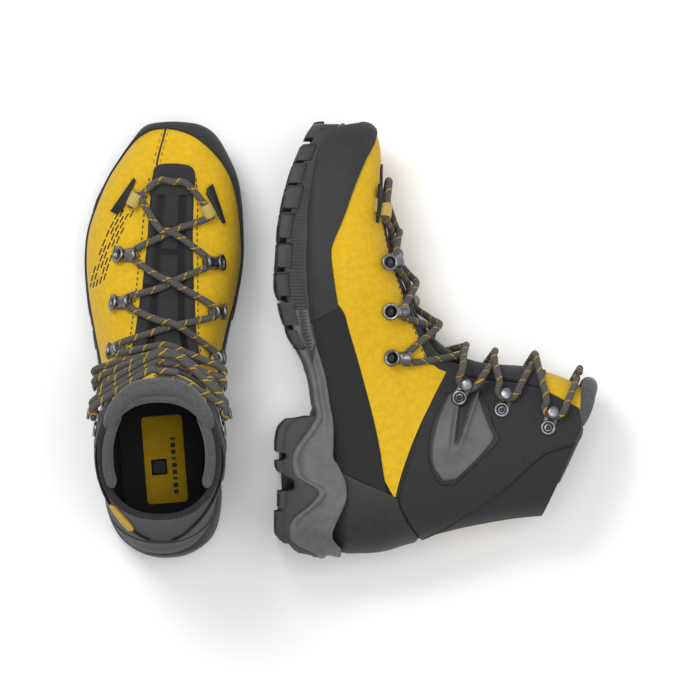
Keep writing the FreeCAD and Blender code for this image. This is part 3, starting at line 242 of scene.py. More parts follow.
def plan_places(points):
    """The places on top of the skin above plan points, smoothly joined."""
    found = []
    for x, y in smooth_line(points, 3):
        stations, angles = np.meshgrid(np.linspace(1, LAST, 97), np.linspace(15, 165, 61))
        reach = np.array([stations[0, 1] - stations[0, 0], angles[1, 0] - angles[0, 0]])
        for _ in range(9):
            p = skin(stations, angles)
            best = np.unravel_index(np.argmin((p[..., 0] - x) ** 2 + (p[..., 1] - y) ** 2), stations.shape)
            s, a = stations[best], angles[best]
            stations, angles = np.meshgrid(s + reach[0] * np.linspace(-1, 1, 9),
                                           a + reach[1] * np.linspace(-1, 1, 9))
            reach = reach / 4
        turned = a if a <= 90 else 180 - a
        row = s / LAST * (len(GIRTH_S) - 1)
        k = min(int(row), len(GIRTH_S) - 2)
        table = ANGLES[k] * (1 - row + k) + ANGLES[k + 1] * (row - k)
        share = float(np.interp(turned, table, GIRTH_G))
        found.append((s, share if a <= 90 else 2 - share))
    return np.array(found)


def evenly(line, shares):
    """Places at shares of the length along a line of places."""
    line = np.asarray(line, float)
    points = on_skin(line)
    steps = np.maximum(np.linalg.norm(np.diff(points, axis=0), axis=1), 1e-6)
    lengths = np.concatenate([[0], np.cumsum(steps)])
    return np.column_stack([np.interp(np.asarray(shares) * lengths[-1], lengths, line[:, k])
                            for k in (0, 1)])


def line_length(line):
    return float(np.linalg.norm(np.diff(on_skin(np.asarray(line)), axis=0), axis=1).sum())


# ---------------------------------------------------------------- meshes


class Build:
    """Gathers verts and faces of several closed shapes into one piece."""

    def __init__(self):
        self.verts, self.faces, self.uvs = [], [], []

    def add(self, verts, faces, uvs=None):
        start = len(self.verts)
        self.verts += [tuple(v) for v in verts]
        self.faces += [[start + k for k in face] for face in faces]
        self.uvs += [tuple(uv) for uv in uvs] if uvs is not None else [(v[0] * MM, v[1] * MM) for v in verts]

    def grid(self, points, uvs=None, closed_u=False, closed_v=False, caps=False):
        """A skin over a grid of points, closed round u or v, with a fan over each open u end if caps."""
        nu, nv = points.shape[:2]
        quads = []
        for i in range(nu if closed_u else nu - 1):
            for j in range(nv if closed_v else nv - 1):
                a, b = i * nv + j, ((i + 1) % nu) * nv + j
                c, d = ((i + 1) % nu) * nv + (j + 1) % nv, i * nv + (j + 1) % nv
                quads.append([a, b, c, d])
        verts = points.reshape(-1, 3)
        flat = None if uvs is None else uvs.reshape(-1, 2)
        if caps:
            ends = np.array([points[0].mean(axis=0), points[-1].mean(axis=0)])
            base = nu * nv
            verts = np.vstack([verts, ends])
            if flat is not None:
                flat = np.vstack([flat, flat[:1], flat[-1:]])
            for j in range(nv):
                k = (j + 1) % nv
                quads.append([j, k, base])
                quads.append([(nu - 1) * nv + k, (nu - 1) * nv + j, base + 1])
        self.add(verts, quads, flat)

    def slab(self, top, under, uvs=None):
        """A closed shape between two grids of the same size."""
        nu, nv = top.shape[:2]
        n = nu * nv
        faces = []
        for i in range(nu - 1):
            for j in range(nv - 1):
                a, b, c, d = i * nv + j, (i + 1) * nv + j, (i + 1) * nv + j + 1, i * nv + j + 1
                faces.append([a, b, c, d])
                faces.append([n + d, n + c, n + b, n + a])
        rim = [i * nv for i in range(nu)] + [(nu - 1) * nv + j for j in range(1, nv)]
        rim += [i * nv + nv - 1 for i in range(nu - 2, -1, -1)] + [j for j in range(nv - 2, 0, -1)]
        for a, b in zip(rim, rim[1:] + rim[:1]):
            faces.append([b, a, n + a, n + b])
        both = None if uvs is None else np.vstack([uvs.reshape(-1, 2)] * 2)
        self.add(np.vstack([top.reshape(-1, 3), under.reshape(-1, 3)]), faces, both)

    def tube(self, points, radii, around=12, up=(0, 0, 1), flat=1.0):
        """A closed tube along points; radii is one number or one for each point."""
        points = np.asarray(points, float)
        radii = np.broadcast_to(radii, len(points))
        along = np.gradient(points, axis=0)
        along /= np.linalg.norm(along, axis=1)[:, None]
        lengths = np.concatenate([[0], np.cumsum(np.linalg.norm(np.diff(points, axis=0), axis=1))])
        across = np.array(up, float)
        rings, uvs = [], []
        for k, p in enumerate(points):
            across = across - along[k] * (across @ along[k])
            across /= np.linalg.norm(across)
            other = np.cross(along[k], across)
            turns = math.pi + np.arange(around) * 2 * math.pi / around
            rings.append(p + radii[k] * (np.outer(np.cos(turns), across) * flat
                                         + np.outer(np.sin(turns), other)))
            uvs.append(np.column_stack([np.full(around, lengths[k] * MM),
                                        (turns - math.pi) * radii[k] * MM]))
        self.grid(np.array(rings), np.array(uvs), closed_v=True, caps=True)

    def rings(self, rows):
        """A closed shape through rows of points, each row a ring."""
        points = np.array(rows)
        self.grid(points, points[..., :2] * MM, closed_v=True, caps=True)

    def mesh(self, name):
        """One mesh in the boot's frame, smooth, with all its faces turned outwards."""
        mesh = bpy.data.meshes.new(name)
        mesh.from_pydata(self.verts, [], self.faces)
        layer = mesh.uv_layers.new(name="weave")
        loops = np.empty(len(mesh.loops), int)
        mesh.loops.foreach_get("vertex_index", loops)
        layer.data.foreach_set("uv", np.asarray(self.uvs, float)[loops].ravel())
        mesh.polygons.foreach_set("use_smooth", [True] * len(mesh.polygons))
        mesh.update()
        work = bmesh.new()
        work.from_mesh(mesh)
        bmesh.ops.recalc_face_normals(work, faces=work.faces)
        work.to_mesh(mesh)
        work.free()
        return mesh


def set_on_boots(name, build, finish, body="foot", replaces=()):
    """Puts what was built in the boot's frame on both boots. Body is foot, cuff or bend."""
    mesh = build.mesh(name)
    for side in ("left", "right"):
        copy = mesh.copy()
        copy.name = side + "_" + name
        copy.transform(Matrix(WORLD[side]))
        if side == "right":
            copy.flip_normals()
        piece = bpy.data.objects.new(side + "_" + name, copy)
        bpy.context.scene.collection.objects.link(piece)
        copy.materials.clear()
        copy.materials.append(FINISH[finish])
        if body == "bend":
            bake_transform(piece)
        else:
            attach(piece, "boots" if body == "foot" else side + "_cuff")
        if replaces:
            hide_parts(*[side + "_" + node for node in replaces])
    bpy.data.meshes.remove(mesh)


# ---------------------------------------------------------------- panels on the skin


def edge_spaced(length, count, radius):
    """Shares from 0 to 1, with rows close together where an edge of that radius is rounded off."""
    near = np.array([0, 0.06, 0.2, 0.45, 0.75, 1.1]) * radius / length
    if near[-1] > 0.4:
        return np.linspace(0, 1, count)
    return np.concatenate([near[:-1], np.linspace(near[-1], 1 - near[-1], count), 1 - near[:-1][::-1]])


def coons(low, high, start, end, us, vs):
    """Places (station, girth) over the area between four lines of places."""
    a, b = evenly(low, us)[:, None], evenly(high, us)[:, None]
    c, d = evenly(start, vs)[None], evenly(end, vs)[None]
    u, v = us[:, None, None], vs[None, :, None]
    corners = ((1 - u) * (1 - v) * a[0, 0] + u * (1 - v) * a[-1, 0] + (1 - u) * v * b[0, 0]
               + u * v * b[-1, 0])
    return (1 - v) * a + v * b + (1 - u) * c + u * d - corners


def straight(one, two, count=12):
    return np.array([np.array(one) + (np.array(two) - np.array(one)) * t for t in np.linspace(0, 1, count)])


def rounded(distance, radius):
    """How far up its full thickness a rounded edge is, from 0 to 1, at a distance from the edge."""
    t = np.clip(distance / radius, 0, 1)
    return np.sqrt(np.clip(1 - (1 - t) ** 2, 0, 1))


def panel(build, low, high, start=None, end=None, base=0.0, thick=1.0, under=1.2, radius=1.0, size=3.0,
          relief=None):
    """Adds a closed panel over the skin between four lines, with rounded edges. relief(places, u, v) is
    added to its thickness, where u and v are distances along and across it in millimetres."""
    start = straight(low[0], high[0]) if start is None else start
    end = straight(low[-1], high[-1]) if end is None else end
    long = max(line_length(low), line_length(high))
    wide = max(line_length(start), line_length(end),
               line_length(straight(evenly(low, [0.5])[0], evenly(high, [0.5])[0])))
    us = edge_spaced(long, max(int(long / size), 6), radius)
    vs = edge_spaced(wide, max(int(wide / size), 6), radius)
    places = coons(low, high, start, end, us, vs)
    points = on_skin(places, base)
    u = np.concatenate([np.zeros((1, len(vs))),
                        np.cumsum(np.linalg.norm(np.diff(points, axis=0), axis=2), axis=0)])
    v = np.concatenate([np.zeros((len(us), 1)),
                        np.cumsum(np.linalg.norm(np.diff(points, axis=1), axis=2), axis=1)], axis=1)
    rise = np.minimum(rounded(np.minimum(u, u[-1:] - u), radius),
                      rounded(np.minimum(v, v[:, -1:] - v), radius))
    height = thick if relief is None else thick + relief(places, u, v)
    top = on_skin(places, base + height * rise)
    bottom = on_skin(places, base - under)
    uvs = np.stack([u, v], -1) * MM
    build.slab(top, bottom, uvs)
    return places


def stitch_row(build, line, lift, long=2.6, gap=1.5, radius=0.42):
    """A row of short thread stitches along a line of places."""
    length = line_length(line)
    count = max(int(length / (long + gap)), 1)
    for k in range(count):
        shares = (np.array([0.0, 0.2, 0.5, 0.8, 1.0]) * long / (long + gap) + k) / count
        places = evenly(line, shares)
        points = np.array([on_skin(p, lift + h) for p, h in zip(places, (-0.7, 0.05, 0.25, 0.05, -0.7))])
        build.tube(points, radius, around=6, up=(0.3, 0.2, 1))


def shifted(line, toward, share):
    """A line of places moved a share of the way towards another."""
    shares = np.linspace(0, 1, len(line))
    return evenly(line, shares) * (1 - share) + evenly(toward, shares) * share


# ---------------------------------------------------------------- materials


class Shader:
    """A material made of nodes, with short calls for the nodes that these finishes use."""

    def __init__(self, name, color, roughness=0.7, metallic=0.0, sheen=0.0, specular=0.5):
        self.material = bpy.data.materials.new(name)
        self.material.use_nodes = True
        self.tree = self.material.node_tree
        self.shader = self.tree.nodes["Principled BSDF"]
        self.set(self.shader, "Base Color", (*color, 1))
        self.set(self.shader, "Roughness", roughness)
        self.set(self.shader, "Metallic", metallic)
        self.set(self.shader, "Sheen Weight", sheen)
        self.set(self.shader, "Sheen Roughness", 0.5)
        self.set(self.shader, "Specular IOR Level", specular)
        self.height = None

    def set(self, node, socket, value):
        node.inputs[socket].default_value = value

    def node(self, kind, **values):
        node = self.tree.nodes.new("ShaderNode" + kind)
        for key, value in values.items():
            if key in node.inputs:
                node.inputs[key].default_value = value
            else:
                setattr(node, key, value)
        return node

    def link(self, one, two):
        self.tree.links.new(one, two)

    def coords(self, scale, uv=False, turn=0.0):
        place = self.node("TexCoord")
        mapping = self.node("Mapping")
        mapping.inputs["Scale"].default_value = scale if isinstance(scale, tuple) else (scale,) * 3
        mapping.inputs["Rotation"].default_value = (0, 0, turn)
        self.link(place.outputs["UV" if uv else "Object"], mapping.inputs["Vector"])
        return mapping.outputs["Vector"]

    def noise(self, scale, detail=3.0, rough=0.6, uv=False, stretch=None):
        node = self.node("TexNoise", Detail=detail, Roughness=rough, Scale=1.0)
        self.link(self.coords(stretch or scale, uv), node.inputs["Vector"])
        return node.outputs["Fac"]

    def wave(self, scale, axis, uv=True, turn=0.0):
        node = self.node("TexWave", bands_direction=axis, wave_profile="SIN", Scale=1.0)
        self.link(self.coords(scale, uv, turn), node.inputs["Vector"])
        return node.outputs["Fac"]

    def math(self, operation, a, b=0.5, clamp=False):
        node = self.node("Math", operation=operation, use_clamp=clamp)
        for socket, value in zip(node.inputs, (a, b)):
            if isinstance(value, (int, float)):
                socket.default_value = value
            else:
                self.link(value, socket)
        return node.outputs[0]

    def ramp(self, value, low, high, low_color, high_color):
        node = self.node("ValToRGB")
        node.color_ramp.elements[0].position = low
        node.color_ramp.elements[0].color = (*low_color, 1)
        node.color_ramp.elements[1].position = high
        node.color_ramp.elements[1].color = (*high_color, 1)
        self.link(value, node.inputs["Fac"])
        return node.outputs["Color"]

    def color(self, value):
        self.link(value, self.shader.inputs["Base Color"])

    def roughness(self, value, low, high):
        node = self.node("MapRange")
        node.inputs["To Min"].default_value = low
        node.inputs["To Max"].default_value = high
        self.link(value, node.inputs["Value"])
        self.link(node.outputs["Result"], self.shader.inputs["Roughness"])

    def bump(self, value, distance, strength=1.0):
        node = self.node("Bump", Strength=strength, Distance=distance * MM)
        self.link(value, node.inputs["Height"])
        if self.height is not None:
            self.link(self.height, node.inputs["Normal"])
        self.height = node.outputs["Normal"]
        self.link(self.height, self.shader.inputs["Normal"])


def tint(color, factor):
    return tuple(min(c * factor, 1) for c in color)


YELLOW = (0.60, 0.37, 0.010)
DARK = (0.022, 0.022, 0.0225)


def yellow_fabric():
    m = Shader("yellow_fabric", YELLOW, roughness=0.75, sheen=0.05, specular=0.2)
    mottle = m.noise(260, 4.0, 0.65)
    m.color(m.ramp(mottle, 0.3, 0.72, tint(YELLOW, 0.88), tint(YELLOW, 1.1)))
    m.bump(m.noise(1500, 2.0, 0.7), 0.10)
    m.bump(m.math("MULTIPLY", m.wave(900, "X"), m.wave(900, "Y")), 0.06, 0.6)
    return m.material


def woven(name, color, pitch, depth, contrast=1.9, roughness=0.75, turn=0.6):
    """A coarse weave, with pitch in threads per metre divided by six."""
    m = Shader(name, color, roughness=roughness, sheen=0.05, specular=0.25)
    threads = m.math("MULTIPLY", m.wave(pitch, "X", turn=turn), m.wave(pitch, "Y", turn=turn))
    m.color(m.ramp(threads, 0.1, 0.75, tint(color, 0.65), tint(color, contrast)))
    m.bump(threads, depth)
    m.bump(m.noise(1800, 2.0), 0.04)
    return m.material


def softshell():
    m = Shader("softshell", DARK, roughness=0.8, sheen=0.08, specular=0.25)
    m.color(m.ramp(m.noise(700, 4.0, 0.7), 0.3, 0.7, tint(DARK, 0.8), tint(DARK, 1.3)))
    m.bump(m.noise(2200, 3.0, 0.7), 0.07)
    m.bump(m.noise(90, 2.0), 0.25, 0.5)
    return m.material


def rubber(name, color, roughness=0.6, grain=0.08, dots=0.0, spread=None):
    m = Shader(name, color, roughness=roughness, specular=0.3)
    cloud = m.noise(120, 5.0, 0.65)
    m.color(m.ramp(cloud, 0.3, 0.7, tint(color, 0.82), tint(color, 1.2)))
    m.roughness(cloud, roughness - 0.08, roughness + 0.1)
    m.bump(m.noise(1600, 3.0, 0.7), grain)
    if dots:
        cells = m.node("TexVoronoi", feature="F1", distance="EUCLIDEAN", Scale=1.0, Randomness=0.0)
        m.link(m.coords(spread or 330, uv=True, turn=0.785), cells.inputs["Vector"])
        bead = m.math("SUBTRACT", 0.42, cells.outputs["Distance"], clamp=True)
        m.bump(bead, dots)
    return m.material


def padding():
    color = (0.070, 0.071, 0.072)
    m = Shader("padding", color, roughness=0.9, sheen=0.2, specular=0.15)
    m.color(m.ramp(m.noise(420, 5.0, 0.7), 0.3, 0.7, tint(color, 0.75), tint(color, 1.25)))
    m.bump(m.noise(1500, 4.0, 0.8), 0.16)
    return m.material


def metal():
    color = (0.16, 0.16, 0.165)
    m = Shader("gunmetal", color, roughness=0.34, metallic=1.0)
    m.roughness(m.noise(500, 4.0), 0.26, 0.46)
    m.color(m.ramp(m.noise(300, 3.0), 0.3, 0.7, tint(color, 0.8), tint(color, 1.5)))
    return m.material


def braid():
    """Grey cord in a fine diagonal braid, with thin dark and yellow strands that cross it now and then."""
    grey, fleck = (0.068, 0.068, 0.066), (0.34, 0.21, 0.025)
    m = Shader("braid", grey, roughness=0.8, sheen=0.05, specular=0.25)
    one, two = m.wave((260, 232, 1), "DIAGONAL"), m.wave((260, -232, 1), "DIAGONAL")
    strands = m.math("MAXIMUM", one, two)
    m.bump(strands, 0.12)
    tone = m.ramp(strands, 0.3, 0.95, tint(grey, 0.6), tint(grey, 1.25))
    bands = m.wave((52, 41.7, 1), "DIAGONAL")
    dark = m.node("Mix", data_type="RGBA")
    m.link(m.ramp(bands, 0.84, 0.88, (0, 0, 0), (1, 1, 1)), dark.inputs["Factor"])
    m.link(tone, dark.inputs[6])
    dark.inputs[7].default_value = (0.03, 0.03, 0.028, 1)
    light = m.node("Mix", data_type="RGBA")
    m.link(m.ramp(bands, 0.94, 0.965, (0, 0, 0), (1, 1, 1)), light.inputs["Factor"])
    m.link(dark.outputs[2], light.inputs[6])
    light.inputs[7].default_value = (*fleck, 1)
    m.color(light.outputs[2])
    return m.material


def webbing():
    color = (0.50, 0.36, 0.07)
    m = Shader("webbing", color, roughness=0.8, sheen=0.2)
    ribs = m.wave((520, 260, 1), "X")
    m.color(m.ramp(ribs, 0.2, 0.9, tint(color, 0.7), tint(color, 1.2)))
    m.bump(ribs, 0.18)
    return m.material


FINISH = {
    "yellow": yellow_fabric(),
    "cordura": woven("cordura", (0.017, 0.017, 0.0175), 250, 0.26, 2.1),
    "mesh": woven("mesh", (0.020, 0.0205, 0.021), 300, 0.20, 2.2),
    "softshell": softshell(),
    "rand": rubber("rand", (0.024, 0.024, 0.024), 0.66, dots=0.10, spread=420),
    "heel": rubber("heel_counter", (0.024, 0.024, 0.024), 0.55),
    "midsole": rubber("midsole", (0.100, 0.100, 0.101), 0.5, 0.05),
    "outsole": rubber("outsole", (0.040, 0.040, 0.040), 0.6, 0.08),
    "plastic": rubber("grey_plastic", (0.075, 0.075, 0.076), 0.42, 0.04),
    "lip": rubber("dark_lip", (0.012, 0.012, 0.012), 0.55, 0.05),
    "padding": padding(),
    "metal": metal(),
    "dark_metal": rubber("dark_metal", (0.03, 0.03, 0.032), 0.4, 0.02),
    "braid": braid(),
    "webbing": webbing(),
    "thread": rubber("thread", (0.05, 0.05, 0.048), 0.8, 0.05),
    "yellow_thread": rubber("yellow_thread", (0.36, 0.22, 0.015), 0.8, 0.05),
    "black": rubber("black_rubber", (0.004, 0.004, 0.004), 0.7, 0.05),
    "footbed": woven("footbed_mesh", (0.016, 0.016, 0.0165), 330, 0.18, 2.8),
}

# ------------------------------------------------ lines that panels share, in the side view (y, z)

TOE_FOOT = [(297.5, 49.5), (292.4, 45), (285.6, 39.5), (275, 35.5), (260, 33), (244, 30.5), (217, 27.5)]
WAIST_FOOT = [(192, 19.8), (176, 21), (162, 23), (134, 30), (107, 35.4), (84, 37), (65, 37.6)]
HEEL_FOOT = [(62, 37.8), (50, 38.6), (35, 38.6), (20, 36.4), (10, 36.4), (5.5, 38)]
QUARTER_TOP = [(191, 25), (172, 44.6), (155, 50.6), (125, 59.4), (90, 68.2), (58, 74.2), (44.6, 76.6)]
HEEL_SEAM = [(64.4, 37.6), (59.6, 45.3), (52.6, 60.5), (45.7, 76.2), (41, 84.4)]
HEEL_TOP = [(41, 84.4), (33, 86.5), (22.7, 92), (13.5, 99)]
REAR_CUFF_LINE = [(13, 102), (24, 122.9), (46, 153.8), (61.8, 171), (73.5, 186), (79, 205.6)]
COLLAR_LINE = [(104, 208.8), (92, 210.5), (79, 205.4), (60, 197.5), (40, 189), (28, 184)]
CUFF_FRONT = [(131, 119), (128.5, 127), (122.5, 138), (121.5, 150), (121.5, 161), (117, 182), (104, 208.8)]
THROAT_MEDIAL = [(8.5, 269.5), (20, 268), (22.4, 250), (21.8, 224), (22.2, 204), (23.4, 177), (24.8, 156),
                 (27, 143), (28.4, 134)]
THROAT_LATERAL = [(8.5, 269.5), (-3, 269), (-7, 250), (-8.5, 224), (-10.5, 204), (-13.8, 177), (-17, 156),
                  (-20, 143), (-22.5, 133)]
RAND_FOOT = [(160, 24), (189, 20.2), (217, 20.2), (244, 23), (260, 25.4), (275, 28.2), (285.6, 32),
             (292.4, 38), (297, 45)]
RAND_TOP = [(172, 43), (190, 40), (208, 37.8), (217, 39), (234, 46), (257, 54.2), (275, 61.8), (286.5, 68.0)]
RAND_TOE = [(32, 283.5), (24, 289.8), (14, 294.2), (3, 296), (-7, 294.8), (-15, 290.5)]
RAND_LOW_TOP = [(170, 34), (190, 31), (208, 30), (225, 30.5), (245, 32.5), (262, 36), (276, 41.5), (286, 48),
                (293, 56.5)]

throat = {"medial": plan_places(THROAT_MEDIAL), "lateral": plan_places(THROAT_LATERAL)}

# ---------------------------------------------------------------- the yellow upper


def side_line(side, points):
    line = medial(points)
    return line if side == "medial" else other_side(line)


def make_vamps():
    """The yellow upper's two halves, with a row of stitches beside the throat."""
    thread = Build()
    for side in ("medial", "lateral"):
        build = Build()
        tip = np.array([(0.35, 1.0)])
        low = np.vstack([tip, side_line(side, TOE_FOOT + [(192, 29), (162, 38), (134, 46), (107, 54),
                                                          (90, 60), (60, 72), (41, 82)])])
        high = np.vstack([throat[side], side_line(side, [(131, 118.8)])])
        panel(build, low, high, base=0.0, thick=0.0, under=2.6, radius=1.2, size=3.0)
        set_on_boots(side + "_vamp", build, "yellow", replaces=[side + "_vamp"])
        inner = shifted(throat[side], side_line(side, [(288, 66), (230, 60), (170, 74), (125, 100)]), 0.10)
        stitch_row(thread, inner[3:], 0.1)
    set_on_boots("upper_stitching", thread, "thread")


def make_rand():
    build = Build()
    foot_line, toe = medial(RAND_FOOT), np.array([(0.1, 1.0)])
    low = np.vstack([foot_line, toe, other_side(foot_line)[::-1]])
    high = np.vstack([medial(RAND_TOP[:-1]), plan_places(RAND_TOE),
                      other_side(medial(RAND_LOW_TOP[:-1]))[::-1]])
    panel(build, low, high, base=0.1, thick=1.7, under=1.0, radius=1.1, size=2.6)
    set_on_boots("toe_rand", build, "rand", replaces=["toe_rand"])


def make_quarters():
    for side in ("medial", "lateral"):
        build = Build()
        low = side_line(side, WAIST_FOOT)
        high = side_line(side, QUARTER_TOP)
        panel(build, low, high, end=side_line(side, HEEL_SEAM[:4]), base=0.0, thick=1.0, under=1.5,
              radius=0.9, size=2.6)
        set_on_boots(side + "_quarter", build, "cordura", replaces=[side + "_quarter"])


def make_heel():
    build = Build()
    low, high = round_back(HEEL_FOOT), round_back(HEEL_TOP)
    start = medial(HEEL_SEAM)

    def dots(places, u, v):
        """Small beads in slanted rows, fading out towards the top of the counter."""
        z = on_skin(places)[..., 2]
        bead = np.cos((u + v) * 1.55) * np.cos((u - v) * 1.55)
        return 0.55 * np.clip(bead, 0, 1) ** 1.5 * np.clip((86 - z) / 30, 0, 1)

    panel(build, low, high, start=start, end=start * (1, -1), base=0.0, thick=1.3, under=2.4, radius=1.2,
          size=0.85, relief=dots)
    set_on_boots("heel_counter", build, "heel", replaces=["heel_counter"])


# ---------------------------------------------------------------- ankle and cuff


def make_cuff_base():
    """The mesh shell of the cuff, which shows at the back."""
    build = Build()
    low = round_back([(124, 112), (107, 101), (79.6, 91), (55.6, 84), (41, 80), (33, 80), (22, 84), (9, 90)])
    high = round_back(COLLAR_LINE)
    start = medial([(124, 112), (126, 128), (121, 138), (119.5, 150), (119.5, 161), (115, 182),
                    (104, 208.8)])
    end = start * (1, -1)
    panel(build, low, high, start=start, end=end, base=-1.2, thick=0.0, under=1.6, radius=0.8, size=2.6)
    set_on_boots("rear_cuff", build, "mesh", body="bend", replaces=["rear_cuff"])


def make_softshell():
    """The softshell panels over the cuff's sides, with a dark tube along their rear edge as painted shade in
    the gap there.
    """
    thread = Build()
    for side in ("medial", "lateral"):
        build = Build()
        low, high = side_line(side, REAR_CUFF_LINE), side_line(side, CUFF_FRONT)
        start = side_line(side, [(13, 102), (14.5, 99.5), (22.7, 93.5), (33, 87.8), (41, 85.2), (55.6, 89.2),
                                 (79.6, 96), (107, 106.3), (131, 119)])
        end = side_line(side, [(79, 205.6), (92, 210.5), (104, 208.8)])
        panel(build, low, high, start=start, end=end, base=-1.0, thick=1.7, under=0.6, radius=1.5, size=2.4)
        nodes = [side + "_cuff_panel"] + (["ankle_wrap"] if side == "medial" else [])
        set_on_boots(side + "_softshell", build, "softshell", body="bend", replaces=nodes)
        stitch_row(thread, shifted(high, low, 0.05)[8:], 0.15)
    # A dark tube along each rear cuff line: painted shade in the gap under the softshell panel's edge.
    edge = Build()
    for side in ("medial", "lateral"):
        line = side_line(side, REAR_CUFF_LINE)
        edge.tube(np.array([on_skin(p, 0.15) for p in evenly(line, np.linspace(0, 1, 60))]), 0.9, around=10)
    set_on_boots("cuff_gap_shade", edge, "lip", body="bend")
    set_on_boots("cuff_stitching", thread, "lip", body="bend")


def rolled(low_line, top_line, profile, count, fade_over=5.0, share_from=0.0, share_to=1.0):
    """A closed band along a top line, its section rows of (share from low line to top line, offset)."""
    shares = np.linspace(share_from, share_to, count)
    top, low = evenly(top_line, shares), evenly(low_line, shares)
    points, uvs = [], []
    middle = sum(offset for _, offset in profile) / len(profile)
    for k in range(count):
        fade = min(1.0, min(k, count - 1 - k) / fade_over)
        round_end = math.sqrt(max(1 - (1 - fade) ** 2, 0.03))
        row = []
        for t, offset in profile:
            place = low[k] + (top[k] - low[k]) * (t - (1 - round_end) * 0.06)
            row.append(on_skin(place, middle + (offset - middle) * round_end))
        points.append(row)
        uvs.append([(k * 2.0 * MM, n * 3 * MM) for n in range(len(profile))])
    build = Build()
    build.grid(np.array(points), np.array(uvs), closed_v=True, caps=True)
    return build


def make_collar():
    """The lining inside the cuff, dark all round, with a thick grey pad along each side of the opening."""
    top_line = round_back([(106, 207.5), (92, 210.5), (79, 205.4), (60, 197.5), (40, 189), (28, 184)])
    low_line = round_back([(124, 130), (100, 122), (79.6, 114), (55.6, 108), (41, 104), (33, 102), (22, 100),
                           (12, 98)])
    dark = [(0.0, -2.5), (0.4, -2.5), (0.8, -2.5), (0.93, -2.2), (0.985, -1.6), (1.0, -2.2), (1.003, -3.4),
            (0.995, -4.6), (0.96, -5.6), (0.88, -6.2), (0.7, -6.4), (0.4, -6.0), (0.2, -5.2), (0.0, -4.6)]
    build = rolled(low_line, top_line, dark, 110)
    set_on_boots("collar_lining", build, "footbed", body="bend", replaces=["cuff_lining"])
    pad = [(0.70, -6.0), (0.8, -5.4), (0.9, -4.4), (0.965, -3.9), (1.0, -4.3), (1.018, -5.6), (1.02, -7.4),
           (1.012, -9.2), (0.99, -10.8), (0.95, -11.7), (0.88, -11.8), (0.80, -10.8), (0.73, -8.8)]
    for side, first, last in (("medial", 0.0, 0.30), ("lateral", 0.70, 1.0)):
        build = rolled(low_line, top_line, pad, 60, 6.0, first, last)
        set_on_boots(side + "_collar_pad", build, "padding", body="bend")


def make_inner_lining():
    for side in ("medial", "lateral"):
        build = Build()
        tip = np.array([(1.6, 1.0)])
        low = np.vstack([tip, side_line(side, TOE_FOOT[1:] + WAIST_FOOT + HEEL_FOOT)])
        high = np.vstack([throat[side] + (0, 0.012 if side == "medial" else -0.012),
                          side_line(side, [(131, 121), (110, 120), (80, 116), (50, 108), (20, 102)])])
        panel(build, low, high, base=-2.9, thick=0.0, under=2.0, radius=0.6, size=4.0)
        set_on_boots(side + "_lining", build, "footbed",
                     replaces=["forefoot_lining", "heel_lining"] if side == "medial" else [])


def make_inserts():
    """The grey plastic ankle inserts in their dark lips, each with ridges along a slot and a black piece in
    the slot as painted shade of its depth.
    """
    for side in ("medial", "lateral"):
        lip, plastic, slot = Build(), Build(), Build()
        low = side_line(side, [(50.5, 113), (60, 107), (73.5, 104.5), (93, 107.5), (114, 117)])
        high = side_line(side, [(49.5, 122), (62, 135), (81, 153.5), (91, 150), (106, 146), (117, 141)])
        panel(lip, low, high, base=0.0, thick=1.4, under=0.8, radius=1.4, size=2.2)
        set_on_boots(side + "_insert_lip", lip, "lip", body="bend")
        low = side_line(side, [(53.5, 115.5), (62, 108.8), (73, 106.5), (93, 110), (113, 119)])
        high = side_line(side,
                         [(55, 124), (67, 137), (81.5, 149.5), (90, 147), (103.7, 141.5), (113, 138.5)])

        def relief(places, u, v, side=side):
            p = on_skin(places)
            t = np.clip((p[..., 1] - 78) / 30, 0, 1)
            middle = 124.0 + (p[..., 1] - 80) * 0.22
            away = np.abs(p[..., 2] - middle)
            gap = 0.8 + 3.4 * t
            hook = np.exp(-((p[..., 1] - 108.5) ** 2 + (p[..., 2] - 124.3) ** 2) / 64)
            ridge = (1.2 + 1.4 * t) * np.exp(-((away - gap - 2.0) / 1.8) ** 2) * np.clip(
                (p[..., 1] - 72) / 8, 0, 1) * (1 - hook)
            sunk = -3.1 * np.clip((gap + 0.6 - away) / 1.2, 0, 1) * np.clip((p[..., 1] - 77) / 4, 0, 1)
            bulge = 1.6 * np.exp(-((p[..., 1] - 76) / 8) ** 2 - (away / 9) ** 2)
            return ridge + sunk + bulge

        panel(plastic, low, high, base=0.6, thick=2.6, under=0.8, radius=1.8, size=1.1, relief=relief)
        set_on_boots(side + "_ankle_insert", plastic, "plastic", body="bend",
                     replaces=[side + "_ankle_insert"])
        # A thin black piece sunk in the slot's recess: painted shade for the deep slot.
        tip = side_line(side, [(78, 123.2), (96, 125.4), (114, 127.4)])
        rim = side_line(side, [(78, 124.2), (96, 129.8), (114, 135.6)])
        panel(slot, tip, rim, base=0.6, thick=0.5, under=0.8, radius=0.3, size=1.5)
        set_on_boots(side + "_insert_slot", slot, "black", body="bend")


# ---------------------------------------------------------------- tongue


